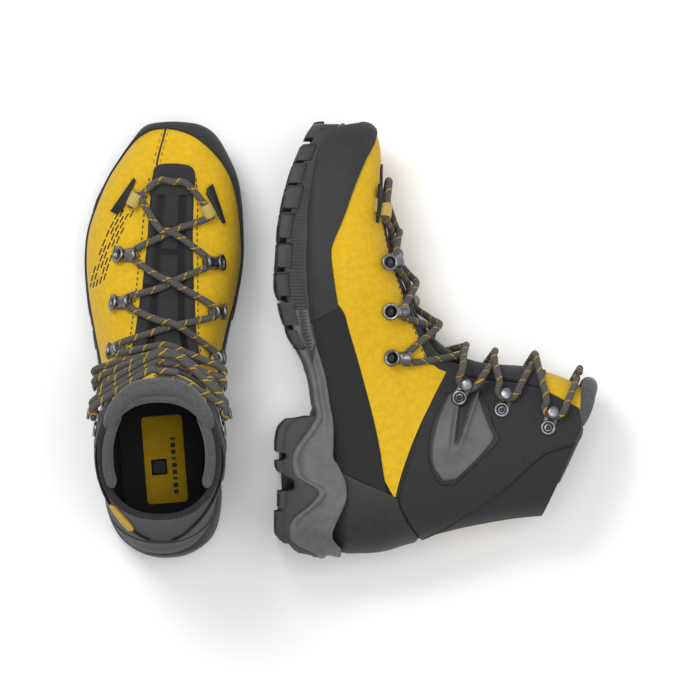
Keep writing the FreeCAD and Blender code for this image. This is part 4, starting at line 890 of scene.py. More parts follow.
def make_tongue():
    """A black base with three columns of soft pads over it, and a smooth piece at the toe."""
    left = np.vstack([throat["medial"][3:], medial([(128, 124), (125, 132)])]) + (0, -0.02)
    right = np.vstack([throat["lateral"][3:], other_side(medial([(128, 124), (125, 132)]))]) + (0, 0.02)
    base = Build()
    panel(base, left, right, base=-2.6, thick=1.2, under=4.0, radius=1.6, size=2.6)
    set_on_boots("tongue", base, "black", replaces=["tongue"])
    pads = Build()
    length = line_length(left)
    for first, last, segments in ((0.04, 0.235, 2), (0.33, 0.67, 3), (0.765, 0.96, 2)):
        bounds = np.linspace(0.03, 1.0, segments + 1)
        for one, two in zip(bounds, bounds[1:]):
            gap = 1.6 / length
            shares = np.linspace(one + gap, two - gap, 9)
            a, b = evenly(left, shares), evenly(right, shares)
            panel(pads, a + (b - a) * first, a + (b - a) * last, base=-1.8, thick=2.9, under=0.6, radius=3.0,
                  size=1.6)
    set_on_boots("tongue_pads", pads, "softshell")
    toe = Build()
    cap_low = plan_places([(-4.6, 264), (-6.2, 259), (-7.2, 254), (-7.6, 250)])
    cap_high = plan_places([(23.2, 264), (23.4, 259), (23.2, 254), (22.8, 250)])
    start = plan_places([(-4.6, 264), (-4.4, 268.5), (-1, 271.5), (9, 272.2), (18, 271.2), (22.4, 268.5),
                         (23.2, 264)])
    panel(toe, cap_low, cap_high, start=start, base=0.1, thick=1.5, under=1.6, radius=1.6, size=1.8)
    set_on_boots("tongue_toe", toe, "softshell")


def make_tongue_top():
    """The top of the tongue: a dark face, a yellow layer that shows above it and a thick grey roll."""
    layers = (("tongue_face", "softshell", "dark_softshell", 0.9, 3.4, 2.2,
               [(129, 122), (125.5, 138), (124, 150), (123.6, 161), (121, 172), (118, 183)]),
              ("tongue_yellow", "yellow", "yellow_upper", -0.4, 2.0, 1.4,
               [(126, 150), (123, 165), (118.5, 182), (108, 202), (102, 211)]),
              ("tongue_lining", "padding", "grey_padding", -2.7, 5.0, 2.6,
               [(127, 126), (124, 150), (122, 161), (117, 182), (106, 205), (99, 214)]))
    for name, finish, slot, outer, under, radius, side in layers:
        low = medial(side)
        build = Build()
        panel(build, low, other_side(low), base=outer, thick=0.0, under=under, radius=radius, size=2.4)
        set_on_boots(name, build, finish, body="bend",
                     replaces=["tongue_collar"] if name == "tongue_lining" else [])
    line = medial([(93, 207.5), (98, 211), (103, 213.5), (108, 215), (112, 215.6)])
    line = np.vstack([line, [(line[-1, 0] - 0.05, 1.0)], other_side(line)[::-1]])
    share = np.clip(1 - np.abs(np.linspace(-1, 1, 70)), 0, 1)
    out = -6.0 + 8.4 * np.clip(share / 0.75, 0, 1) ** 0.8
    path = np.array([on_skin(p, o) for p, o in zip(evenly(line, np.linspace(0, 1, 70)), out)])
    radii = (3.8 + 1.9 * np.clip(share / 0.7, 0, 1)) * np.sqrt(np.clip(
        1 - (1 - np.clip(share / 0.1, 0, 1)) ** 2, 0.02, 1))
    roll = Build()
    roll.tube(path, radii, around=22)
    set_on_boots("tongue_roll", roll, "padding", body="cuff")


# ---------------------------------------------------------------- sole

PLAN = smooth_line([(7.5, 300), (22, 298), (33.5, 291.5), (43, 281), (49, 266.5), (52, 249), (52.6, 228),
                    (52.6, 205), (49.8, 182), (44.5, 158), (40.8, 132), (39.6, 108), (39.8, 80), (40.4, 52),
                    (39.8, 32), (34, 14), (20, 3.2), (3, 0), (-14, 3.2), (-29, 14), (-37.5, 32), (-39.6, 52),
                    (-40.2, 80), (-41.4, 108), (-44, 135), (-48, 160), (-51, 185), (-51.6, 205), (-50, 225),
                    (-46.5, 243), (-39, 259), (-30, 273), (-19, 286), (-8, 296), (7.5, 300)], 8)[:-1]
SOLE_TOP = smooth_line([(-6, 45.3), (4.5, 45.3), (7.9, 42.6), (12.7, 39.4), (18.2, 39.2), (26.4, 42.6),
                        (34, 46), (42.2, 48.7), (52.5, 48.1), (59.4, 45.3), (64.9, 42.6), (69.7, 39.6),
                        (80, 39.8), (93.7, 39.6), (107.4, 37.1), (124.6, 34.4), (141.8, 30.2), (162, 25.4),
                        (189, 21.6), (217, 21.6), (244, 25), (260, 27.5), (275, 30), (285.6, 33.6),
                        (292.4, 40.5), (298.6, 47.4), (306, 52)])
GREY_LOW = smooth_line([(-6, 29), (2, 28.8), (7.5, 17.8), (12.4, 10.3), (19, 9), (26.8, 11), (38.4, 24.7),
                        (46.7, 28.8), (53.5, 18), (59, 12), (73, 11.7), (90, 23.3), (98.9, 27.5), (107, 26),
                        (121, 24), (134.6, 20), (145, 15), (158.6, 11.7), (186, 8.2), (200, 8.2), (217, 9.6),
                        (234, 11.7), (248, 15), (268, 22), (284, 27), (306, 36)])


def height_on(line, y):
    line = np.array(line)
    return np.interp(y, line[:, 0], line[:, 1])


def plan_ring(count=260, inset=0.0):
    """Even points round the sole's outline seen from above, and the outward direction at each."""
    points = np.array(PLAN + PLAN[:1])
    lengths = np.concatenate([[0], np.cumsum(np.linalg.norm(np.diff(points, axis=0), axis=1))])
    shares = np.linspace(0, lengths[-1], count, endpoint=False)
    ring = np.column_stack([np.interp(shares, lengths, points[:, k]) for k in (0, 1)])
    along = np.roll(ring, -1, axis=0) - np.roll(ring, 1, axis=0)
    along /= np.linalg.norm(along, axis=1)[:, None]
    out = np.column_stack([-along[:, 1], along[:, 0]])
    return ring - out * inset, out, shares


def part_ring(keep, count):
    """The stretch of the outline kept by a test of y, in one run from end to end."""
    ring, out, shares = plan_ring(count)
    kept = keep(ring[:, 1])
    if kept.all():
        return ring, out, shares
    ring, out, shares = ring[kept], out[kept], shares[kept]
    split = np.argmax(np.linalg.norm(np.diff(np.vstack([ring, ring[:1]]), axis=0), axis=1)) + 1
    return np.roll(ring, -split, axis=0), np.roll(out, -split, axis=0), np.roll(shares, -split)


def sole_band(build, ring, out, shares, rows, above, below):
    """A closed ring-shaped wall with a crown and a floor: rows are (heights, reach) up the wall."""
    grid = [np.column_stack([ring + out * np.broadcast_to(reach, len(ring))[:, None], z])
            for z, reach in rows]
    uvs = [np.column_stack([shares, z]) * MM for z, _ in rows]
    centre = ring.mean(axis=0)

    def inner(share, heights):
        xy = centre + (ring - centre) * share
        return np.column_stack([xy, heights(xy[:, 1])])

    floor = [inner(share, below) for share in (0.03, 0.35, 0.65, 0.88)]
    crown = [inner(share, above) for share in (0.88, 0.65, 0.35, 0.03)]
    build.grid(np.array(floor + grid + crown), np.array([uvs[0]] * 4 + uvs + [uvs[-1]] * 4), closed_v=True,
               caps=True)


def make_midsole():
    """The grey midsole from the arch back, with a raised band along its waved lower edge."""
    ring, out, shares = part_ring(lambda y: y < 172, 640)
    top, low = height_on(SOLE_TOP, ring[:, 1]) + 0.2, height_on(GREY_LOW, ring[:, 1]) - 0.2
    tall = np.maximum(top - low, 6)
    rim = np.minimum(5.6, tall * 0.42)
    body = tall - rim - 2.4
    rows = [(low, -1.6), (low + 0.5, -0.2), (low + 1.3, 0.5), (low + rim * 0.5, 0.75),
            (low + rim - 1.2, 0.6), (low + rim - 0.4, 0.1), (low + rim, -0.7),
            (low + rim + body * 0.15, -1.25), (low + rim + body * 0.45, -1.2),
            (low + rim + body * 0.75, -0.6), (low + rim + body, -0.1), (top - 1.0, 0.05), (top - 0.3, -0.4),
            (top, -1.6)]
    build = Build()
    sole_band(build, ring, out, shares, rows, lambda y: height_on(SOLE_TOP, y) - 5.0,
              lambda y: height_on(GREY_LOW, y) + 2.5)
    set_on_boots("midsole", build, "midsole", replaces=["midsole"])


# The side-view heights of the lugs' tips and of the sole's underside between them, as (y, z).
TIPS = [(-6, 30), (1, 24.7), (3, 14.4), (5, 10.3), (9.3, 7.5), (12, 3.4), (16, 0.3), (21.6, 0.05), (33, 0.3),
        (34.7, 2.2), (46.6, 2.4), (47.7, 9.6), (54.6, 8.9), (58.7, 2.5), (62.8, 0.4), (80, 0.3), (88, 1.6),
        (91.6, 3.2), (96.0, 8), (97.8, 19.9), (99.6, 27), (107, 25.2), (121, 23), (134, 19.4), (140, 17),
        (146, 13.5), (152, 9.6), (161, 6.4), (168, 4.2), (180, 1.6), (186, 0.1), (198, 0.1), (203, 0.8),
        (217, 1.6), (227, 2.2), (240, 4.2), (250, 6.2), (267, 10.8), (282, 16.9), (293, 22), (299, 26),
        (306, 31)]
BASES = [(-6, 31), (1, 25.6), (3, 16), (6, 12.2), (10, 9.4), (13, 6.4), (17, 3.4), (33, 3.4), (36, 4.8),
         (46, 5.0), (47.6, 13.4), (54, 13), (58, 5.6), (62, 3.6), (67.6, 3.6), (68.6, 7.6), (72.2, 7.6),
         (73.2, 3.6), (88, 4.8), (92, 6.8), (95.6, 10.4), (97.4, 20.5), (99, 27), (107, 25.6), (121, 23.4),
         (134, 20.2), (146, 16.5), (155, 12.6), (168, 9.6), (186, 5.6), (198, 5.4), (217, 6.4), (231, 8.2),
         (246, 11.6), (261, 14.8), (274, 18.8), (284, 22.8), (299, 30), (306, 34)]


def tip_height(y):
    return height_on(TIPS, y)


def base_height(y):
    """The underside of the sole between the lugs."""
    return height_on(BASES, y)


def lug(build, outline, taper=0.7, rise=1.6):
    """A tread block, its outline in plan: from the tips up into the sole, with bevelled edges."""
    outline = np.array(outline, float)
    closed = np.vstack([outline, outline[:1]])
    points = []
    for a, b in zip(closed[:-1], closed[1:]):
        steps = max(int(np.linalg.norm(b - a) / 2.0), 1)
        points += [a + (b - a) * t for t in np.arange(steps) / steps]
    ring = np.array(points)
    middle = ring.mean(axis=0)
    reach = np.linalg.norm(ring - middle, axis=1)
    rows = []
    for grow, lift in ((-0.9, 0.15), (-0.35, 0.0), (-0.05, 0.35), (0.05, 1.0), (taper * 0.6, 2.6)):
        xy = middle + (ring - middle) * (1 + grow / reach)[:, None]
        rows.append(np.column_stack([xy, np.maximum(tip_height(xy[:, 1]) + lift, 0.02)]))
    xy = middle + (ring - middle) * (1 + taper / reach)[:, None]
    rows.append(np.column_stack([xy,
                                 np.maximum(base_height(ring[:, 1]) + rise, tip_height(ring[:, 1]) + 3.2)]))
    xy = middle + (ring - middle) * (1 - 1.0 / reach)[:, None]
    rows.append(np.column_stack([xy, np.maximum(base_height(ring[:, 1]) + rise,
                                                tip_height(ring[:, 1]) + 3.2) + 0.9]))
    for share in (0.6, 0.25):
        inner = middle + (ring - middle) * share
        rows.insert(0, np.column_stack([inner, np.maximum(tip_height(inner[:, 1]) + 0.15, 0.02)]))
    rows.insert(0, rows.pop(1))
    build.rings(rows)


def clipped(outline, inset=0.2):
    """The corners of a block kept inside the sole's outline, with points added where they follow it."""
    ring, _, _ = plan_ring(840, inset)
    kept = []
    closed = outline + outline[:1]
    for (x0, y0), (x1, y1) in zip(closed[:-1], closed[1:]):
        steps = max(int(math.hypot(x1 - x0, y1 - y0) / 2.5), 1)
        for k in range(steps):
            x, y = x0 + (x1 - x0) * k / steps, y0 + (y1 - y0) * k / steps
            side = ring[ring[:, 0] > 3] if x > 3 else ring[ring[:, 0] <= 3]
            limit = side[np.argmin(np.abs(side[:, 1] - y)), 0]
            kept.append((min(x, limit) if x > 3 else max(x, limit), y))
    return kept


def make_outsole():
    """The treads: a ribbed wall and a floor under the forefoot, a deep heel, and lugs round both."""
    front, heel = Build(), Build()
    ring, out, shares = part_ring(lambda y: y > 128, 1500)
    top, low = height_on(SOLE_TOP, ring[:, 1]), base_height(ring[:, 1])
    fade = np.clip((ring[:, 1] - 128) / 20, 0, 1)
    top = top * fade + (height_on(GREY_LOW, ring[:, 1]) + 2.0) * (1 - fade)
    rib = 0.42 * np.clip(np.cos(shares * 2 * math.pi / 2.4) * 1.6, -1, 1)
    rows = [(low + 0.6, -3.0), (low, -2.0), (low + 0.5, -1.2)]
    for t in (0.12, 0.2, 0.24, 0.5, 0.74, 0.78):
        strength = 1.0 if 0.2 < t < 0.76 else 0.0
        rows.append((low + (top - low) * t, -0.75 * fade - 1.3 * (1 - fade) + rib * strength * fade))
    rows += [(low + (top - low) * 0.82, -0.4), (low + (top - low) * 0.9, 0.35 * fade),
             (low + (top - low) * 0.97, 0.2 * fade), (top, -0.6), (top + 0.1, -2.4)]
    sole_band(front, ring, out, shares, rows, lambda y: height_on(SOLE_TOP, y) - 5.5,
              lambda y: base_height(y) + 0.3)

    ring, out, shares = part_ring(lambda y: y < 98.6, 700)
    top, low = height_on(GREY_LOW, ring[:, 1]) + 1.5, base_height(ring[:, 1]) - 0.8
    low = np.minimum(low, top - 2)
    rows = [(low + 0.6, -2.8), (low, -1.6), (low + 0.5, -0.7), (low + (top - low) * 0.3, -0.25),
            (low + (top - low) * 0.7, 0.0), (top - 1.0, -0.1), (top - 0.4, -0.9), (top, -2.4)]
    sole_band(heel, ring, out, shares, rows, lambda y: height_on(GREY_LOW, y) + 3.0,
              lambda y: base_height(y) + 0.2)

    spans = [(298.5, 287.5, 2), (284, 274.5, 3), (270.5, 258.5, 4), (255, 241, 5), (236.5, 220.5, 5),
             (215.5, 200.5, 4), (196, 181, 3), (176, 161, 0), (156.5, 145, -3)]
    for k, (far, near, slant) in enumerate(spans[1:]):
        inner, rise = (15, 2.4) if k % 2 else (19, 4.2)
        for sign in (1, -1):
            outline = [(sign * inner, far - slant), (sign * 62, far + slant * 0.3),
                       (sign * 62, near + slant * 0.3), (sign * inner, near - slant),
                       (sign * (inner + 5), (far + near) / 2 - slant)]
            lug(front, clipped(outline, -0.7), rise=rise)
    lug(front,
        clipped([(-14, 288), (-24, 289), (-12, 296), (7.5, 301), (24, 298), (33, 290), (27, 288)], -0.5),
        rise=2.4)
    for far, near, _ in spans[1:-1]:
        lug(front, [(-10, far - 5.5), (1, far - 1.5), (12, far - 5.5), (12, near - 2.5), (1, near + 1.5),
                    (-10, near - 2.5)])
    for far, near in ((96.6, 73), (67.6, 58.8), (46.6, 34.5), (32.6, 10)):
        for sign in (1, -1):
            lug(heel, clipped([(sign * 14, far - 0.4), (sign * 60, far - 0.4), (sign * 60, near + 0.4),
                               (sign * 14, near + 0.4)], -0.25), 0.3)
        lug(heel, clipped([(-9, far - 1.5), (9, far - 1.5), (9, near + 2), (-9, near + 2)], 0.5), 0.3)
    set_on_boots("forefoot_outsole", front, "outsole", replaces=["forefoot_outsole"])
    set_on_boots("heel_outsole", heel, "outsole", replaces=["heel_outsole"])


# ---------------------------------------------------------------- lace hardware

THROAT_MIDDLE = 5.5
INSTEP = {"medial": [(37, 203), (38, 170), (36.5, 138)], "lateral": [(-25, 208), (-27.5, 175), (-29, 142)]}
TOE_LOOPS = {"medial": (37.5, 242.5), "lateral": (-23.5, 250)}
CUFF = [(108.5, 124.3), (102, 155.5), (90, 187)]
# The fittings: a plate's thickness, how far the lace's bore lies from the seat, its radius and its wall.
PLATE, REACH, BORE, WALL = 1.0, 8.6, 3.1, 1.0


def skin_normal(station, angle, origin):
    """The skin's unit normal, turned to the side of origin where the skin stood off by 1 mm lies."""
    along = skin(station + 0.02, angle) - skin(station - 0.02, angle)
    around = skin(station, angle + 1) - skin(station, angle - 1)
    normal = np.cross(around, along)
    normal /= np.linalg.norm(normal)
    return -normal if normal @ (skin(station, angle, 1.0) - origin) < 0 else normal


def seat(place, towards, lift=0.06, outward=0.0):
    """A 4x4 matrix: origin on the skin, x along it to a point, z out of it and leaning outward."""
    station, angle = float(place[0]), float(angle_at(place[0], place[1]))
    origin = skin(station, angle, lift)
    normal = skin_normal(station, angle, origin)
    normal += (outward * np.sign(origin[0]), 0, 0)
    normal /= np.linalg.norm(normal)
    aim = np.array(towards) - origin
    along = aim - normal * (aim @ normal)
    along /= np.linalg.norm(along)
    matrix = np.eye(4)
    matrix[:3] = np.column_stack([along, np.cross(normal, along), normal, origin])
    return matrix


def instep_seat(x, y, drop=0.0):
    place = plan_places([(x, y), (x, y - 0.01)])[0]
    top = skin(place[0], 90)
    return seat(place, (THROAT_MIDDLE, y - drop, top[2] + 4))


def cuff_seat(sign, y, z, lean, lift):
    place = np.array(place_of(y, z))
    front = skin(place[0] + lean, 90)
    if sign < 0:
        place[1] = 2 - place[1]
    if lean:
        x, near_y, near_z = on_skin(place, lift)
        return seat(place, (x, near_y + 18, near_z + 9), lift + 1.4, 4.0)
    return seat(place, (THROAT_MIDDLE - 2, front[1], front[2]), lift, 0.3)


INSERT_LIFT = 3.66  # how far the first open hook stands off the skin, on the ankle insert
SEATS = {}
for side, sign in (("medial", 1), ("lateral", -1)):
    SEATS["toe", side] = instep_seat(*TOE_LOOPS[side], 16)
    for k, spot in enumerate(INSTEP[side]):
        SEATS[k, side] = instep_seat(*spot)
    for k, (spot, lean) in enumerate(zip(CUFF, (-1.0, 0.0, 0.0))):
        SEATS[k + 3, side] = cuff_seat(sign, *spot, lean, INSERT_LIFT if k == 0 else 0.06)


def at_seat(matrix, points):
    points = np.asarray(points, float)
    return points @ matrix[:3, :3].T + matrix[:3, 3]


def turned(matrix, profile, around=32, x=0.0):
    """Rings turned about a fitting's z axis, or about a line at x beside it; the profile is (radius, z)."""
    turns = np.arange(around) * 2 * math.pi / around
    return [at_seat(matrix, np.column_stack([x + r * np.cos(turns), r * np.sin(turns), np.full(around, z)]))
            for r, z in profile]


def plate(build, matrix, outline, low, high, bevel=0.25):
    """A flat plate with bevelled edges, its outline in the fitting's x and y."""
    ring = np.array(outline, float)
    middle = ring.mean(axis=0)
    grow = np.abs(ring - middle).max()
    rows = []
    for share, z in ((0.02, low), (1 - bevel / grow, low), (1.0, low + bevel), (1.0, high - bevel),
                     (1 - bevel / grow, high), (0.02, high)):
        rows.append(np.column_stack([middle + (ring - middle) * share, np.full(len(ring), z)]))
    points = np.array([at_seat(matrix, row) for row in rows])
    build.grid(points, points[..., :2] * MM, closed_v=True, caps=True)


def tongue_outline(far, half, end_half=None):
    turns = np.linspace(math.pi / 2, 3 * math.pi / 2, 19)
    end_half = half if end_half is None else end_half
    back = [(half * math.cos(t), half * math.sin(t)) for t in turns]
    return back + [(far * 0.5, -half), (far, -end_half), (far, end_half), (far * 0.5, half)]


def rivet_cup(build, matrix, ring=3.4):
    """The pressed rivet in an eyelet: a dark dish with a small round tail. In a barrel's flared end its dark
    is also painted shade for the hole there.
    """
    build.rings(turned(matrix, [(0.05, 0.3), (ring, 0.3), (ring + 0.1, 1.2), (ring - 0.5, 1.25),
                                (1.9, 0.95), (1.7, 1.5), (1.1, 1.95), (0.05, 2.05)]))


def barrel(build, matrix):
    """A hollow barrel that leads the lace over the throat, turned up and flared at its outer end."""
    turns = np.arange(32) * 2 * math.pi / 32
    eye, tilt = np.array([-3.4, 5.6]), math.radians(50)
    ahead = np.array([-math.cos(tilt), math.sin(tilt)])
    stops = [(eye + ahead * step, tilt, r) for step, r in ((-2.6, 0.05), (-2.6, 2.8), (-0.6, 3.4),
                                                           (0.3, 4.0), (0.8, 5.0), (0.5, 5.8), (-0.6, 6.0),
                                                           (-1.9, 5.3), (-3.1, 4.4))]
    stops += [(np.array([x, z]), math.radians(degrees), r) for x, z, degrees, r in (
                  (0.6, 4.9, 24, 4.0), (3.0, 4.6, 6, 4.0), (5.4, 4.7, 0, 4.3), (7.4, 4.8, 0, 4.9),
                  (8.8, 4.8, 0, 5.1), (9.9, 4.8, 0, 4.7), (10.3, 4.8, 0, 3.5), (10.0, 4.8, 0, 2.6),
                  (9.4, 4.8, 0, 0.05))]
    rows = []
    for centre, lean, r in stops:
        up = np.array([math.sin(lean), math.cos(lean)])
        rows.append(at_seat(matrix, [(centre[0] + up[0] * r * math.sin(t), r * math.cos(t),
                                      centre[1] + up[1] * r * math.sin(t)) for t in turns]))
    build.rings(rows)


# From a fitting's frame to one whose z points out of the barrel's end.
FACING_OUT = np.array([[0, 0, -1, -1.9], [0, 1, 0, 0], [1, 0, 0, 4.35], [0, 0, 0, 1]])


def make_hooks():
    """Three barrels and three open hooks on each side; the first open hook is on the ankle insert."""
    lower, upper, lower_rivet_and_hole_shade, upper_rivet = Build(), Build(), Build(), Build()
    for side in ("medial", "lateral"):
        for k in range(3):
            matrix = SEATS[k, side]
            plate(lower, matrix, tongue_outline(REACH, 4.4, 4.0), 0.0, 1.1)
            barrel(lower, matrix)
            # A dark rivet cup in the hole of the barrel's flared end; its dark is also painted shade for the
            # hole's depth.
            rivet_cup(lower_rivet_and_hole_shade, matrix @ FACING_OUT, 2.8)
        for k in (3, 4, 5):
            matrix = SEATS[k, side]
            build, rivets = (lower, lower_rivet_and_hole_shade) if k == 3 else (upper, upper_rivet)
            plate(build, matrix, tongue_outline(12.6, 4.6, 2.7), 0.0, 1.1)
            grommet = np.array(turned(matrix, [(3.3, 0.6), (3.2, 1.9), (3.5, 2.6), (4.3, 2.9), (5.1, 2.5),
                                               (5.5, 1.7), (5.5, 0.4)], 40))
            build.grid(grommet, grommet[..., :2] * MM, closed_v=True, closed_u=True)
            neck = [(10.9, 0.4), (12.7, 0.8), (13.0, 3.5), (12.8, 6.3), (11.2, 6.3), (11.0, 3.0)]
            centre = np.mean(neck, axis=0)
            rows = []
            for half, share in ((-2.3, 0.85), (-2.0, 1.0), (2.0, 1.0), (2.3, 0.85)):
                rows.append(at_seat(matrix, [(centre[0] + (x - centre[0]) * share, half,
                                              centre[1] + (z - centre[1]) * share) for x, z in neck]))
            build.rings(rows)
            build.rings(turned(matrix, [(0.05, 6.4), (2.8, 6.4), (3.9, 6.7), (4.25, 7.3), (4.0, 8.0),
                                        (3.1, 8.5), (2.0, 8.65), (0.05, 8.7)], 30, 10.2))
            rivet_cup(rivets, matrix, 3.3)
    set_on_boots("lower_hooks", lower, "metal", replaces=["lower_hooks"])
    set_on_boots("lower_rivets", lower_rivet_and_hole_shade, "dark_metal", replaces=["lower_rivets"])
    set_on_boots("cuff_hooks", upper, "metal", body="cuff", replaces=["cuff_hooks"])
    set_on_boots("cuff_rivets", upper_rivet, "dark_metal", body="cuff", replaces=["cuff_rivets"])


WEB = 0.9  # the webbing's thickness


def make_toe_loops():
    """A webbing loop on each side of the toe, held by a dark tab with a row of stitches."""
    loops, tabs = Build(), Build()
    for side in ("medial", "lateral"):
        matrix = SEATS["toe", side]
        centre = (REACH, BORE + WEB)
        line = [(-3.0, 0.5), (2.0, 0.6), (REACH - 3.4, 1.0)]
        line += [(centre[0] + (BORE + 0.5) * math.sin(t), centre[1] - (BORE + 0.5) * math.cos(t))
                 for t in np.linspace(-0.3, 5.6, 26)]
        line += [(REACH - 3.6, 2.6), (2.0, 1.9), (-3.0, 1.8)]
        rows, uvs = [], []
        line = np.array(line)
        normal = np.gradient(line, axis=0)
        normal /= np.linalg.norm(normal, axis=1)[:, None]
        normal = np.column_stack([-normal[:, 1], normal[:, 0]])
        run = np.concatenate([[0], np.cumsum(np.linalg.norm(np.diff(line, axis=0), axis=1))])
        section = [(-4.8, -0.25), (-4.8, 0.25), (-4.4, 0.45), (-2, 0.5), (2, 0.5), (4.4, 0.45), (4.8, 0.25),
                   (4.8, -0.25), (4.4, -0.45), (2, -0.5), (-2, -0.5), (-4.4, -0.45)]
        for p, n, u in zip(line, normal, run):
            rows.append(at_seat(matrix, [(p[0] + n[0] * h, y, p[1] + n[1] * h) for y, h in section]))
            uvs.append([(u * MM, y * MM) for y, h in section])
        loops.grid(np.array(rows), np.array(uvs), closed_v=True, caps=True)
        outline = [(-4.2, -15), (1.0, -14.4), (3.4, -11), (2.6, 2), (1.6, 12.5), (-0.6, 13.2), (-2.2, 0)]
        plate(tabs, matrix, outline, 1.9, 3.4, 0.45)
        for k in range(9):
            y = -12 + k * 2.7
            tabs.tube(at_seat(matrix, [(1.4 - 0.12 * k, y, 3.1), (1.4 - 0.12 * k, y + 0.8, 3.62),
                                       (1.35 - 0.12 * k, y + 1.6, 3.1)]), 0.34, 6)
    set_on_boots("toe_loops", loops, "webbing", replaces=["toe_loops"])
    set_on_boots("toe_tabs", tabs, "lip")


# ---------------------------------------------------------------- lace

LACE = 2.4
CROSSINGS = [((226, 77), "lateral"), ((190, 89), "medial"), ((158, 106), "lateral"), ((137, 130), "medial"),
             ((132, 155), "lateral"), ((127, 182), "medial")]


def over_tongue(share, station, lift):
    """A point above the tongue, a share of the way from its middle (0) to a side (1 or -1)."""
    target = THROAT_MIDDLE + share * (14.0 if station < 12 else 18.0)
    angles = np.linspace(20, 160, 561)
    angle = angles[np.argmin(np.abs(skin(station, angles)[:, 0] - target))]
    base = skin(station, angle)
    return base + skin_normal(station, angle, base) * lift


def upwards(points):
    """The points in the order in which they climb the boot."""
    points = [np.array(p) for p in points]
    return points if points[0][1] > points[-1][1] + 0.01 or points[0][2] < points[-1][2] else points[::-1]


def half_lace(start):
    """The lace from a toe loop up through the fittings of alternate sides, over the tongue between them."""
    other = {"medial": "lateral", "lateral": "medial"}
    side = start
    points = upwards(at_seat(SEATS["toe", side], [(REACH, k, BORE + WEB) for k in (-4.5, 0, 4.5)]))
    for k, ((y, z), over) in enumerate(CROSSINGS):
        station = place_of(y - 3, z - 6)[0]
        lift = (LACE + 1.6) if over != start else (3 * LACE + 2.6)
        sign = 1 if side == "medial" else -1
        for share in (0.5, 0.0, -0.5):
            rise = lift if share == 0 else lift * 0.75 + 0.8
            points.append(over_tongue(share * sign, station + (0.35 if k < 3 else 0.3) * -share, rise))
        side = other[side]
        if k < 3:
            points += upwards(at_seat(SEATS[k, side], [(REACH, n * 3.6, BORE + WALL) for n in (-1, 0, 1)]))
        else:
            post_x, post_z = 10.9 - LACE - 0.35, PLATE + LACE + 0.35
            turn = [(post_x + dx, y, post_z) for dx, y in ((11.0, -7.4), (5.0, -6.6), (1.2, -4.2), (0, 0),
                                                           (1.2, 4.2), (5.0, 6.6), (11.0, 7.4))]
            wrap = [np.array(p) for p in at_seat(SEATS[k, side], turn)]
            points += wrap if wrap[0][2] < wrap[-1][2] else wrap[::-1]
    sign = 1 if side == "medial" else -1
    station = place_of(118, 206)[0]
    for share in (0.6, 0.25, -0.1, -0.4):
        points.append(over_tongue(share * sign, station, 3.6 if start == "medial" else 8.8))
    return points


def make_lace():
    """The whole lace, from one end over the toe bar to the other, resampled at even steps."""
    bar = [np.array(p) for p in ((18, 258.0, 78.6), (8, 259.5, 79.2), (-3, 259.5, 78.4))]
    points = half_lace("medial")[::-1] + bar + half_lace("lateral")
    dense = np.array(smooth_line(points, 10))
    steps = np.linalg.norm(np.diff(dense, axis=0), axis=1)
    lengths = np.concatenate([[0], np.cumsum(steps)])
    count = int(lengths[-1] / 1.15)
    even = np.column_stack([np.interp(np.linspace(0, lengths[-1], count), lengths, dense[:, k])
                            for k in range(3)])
    build = Build()
    build.tube(even, LACE, around=16)
    set_on_boots("lace", build, "braid", body="bend", replaces=["lace"])


# ---------------------------------------------------------------- footbed

# The label's middle on the footbed, and its small turn.
LABEL = np.array([2.05, 67.8])
TILTED = np.array([[math.cos(0.079), -math.sin(0.079)], [math.sin(0.079), math.cos(0.079)]])


def rounded_box(wide, long, radius):
    """The outline of a rectangle with round corners."""
    turns = np.linspace(0, math.pi / 2, 7)
    ring = []
    for k, (sx, sy) in enumerate(((1, 1), (-1, 1), (-1, -1), (1, -1))):
        centre = np.array([sx * (wide / 2 - radius), sy * (long / 2 - radius)])
        ring += [centre + radius * np.array([math.cos(t + k * math.pi / 2), math.sin(t + k * math.pi / 2)])
                 for t in turns]
    dense = []
    for a, b in zip(ring, ring[1:] + ring[:1]):
        steps = max(int(np.linalg.norm(b - a) / 3), 1)
        dense += [a + (b - a) * t / steps for t in range(steps)]
    return np.array(dense)


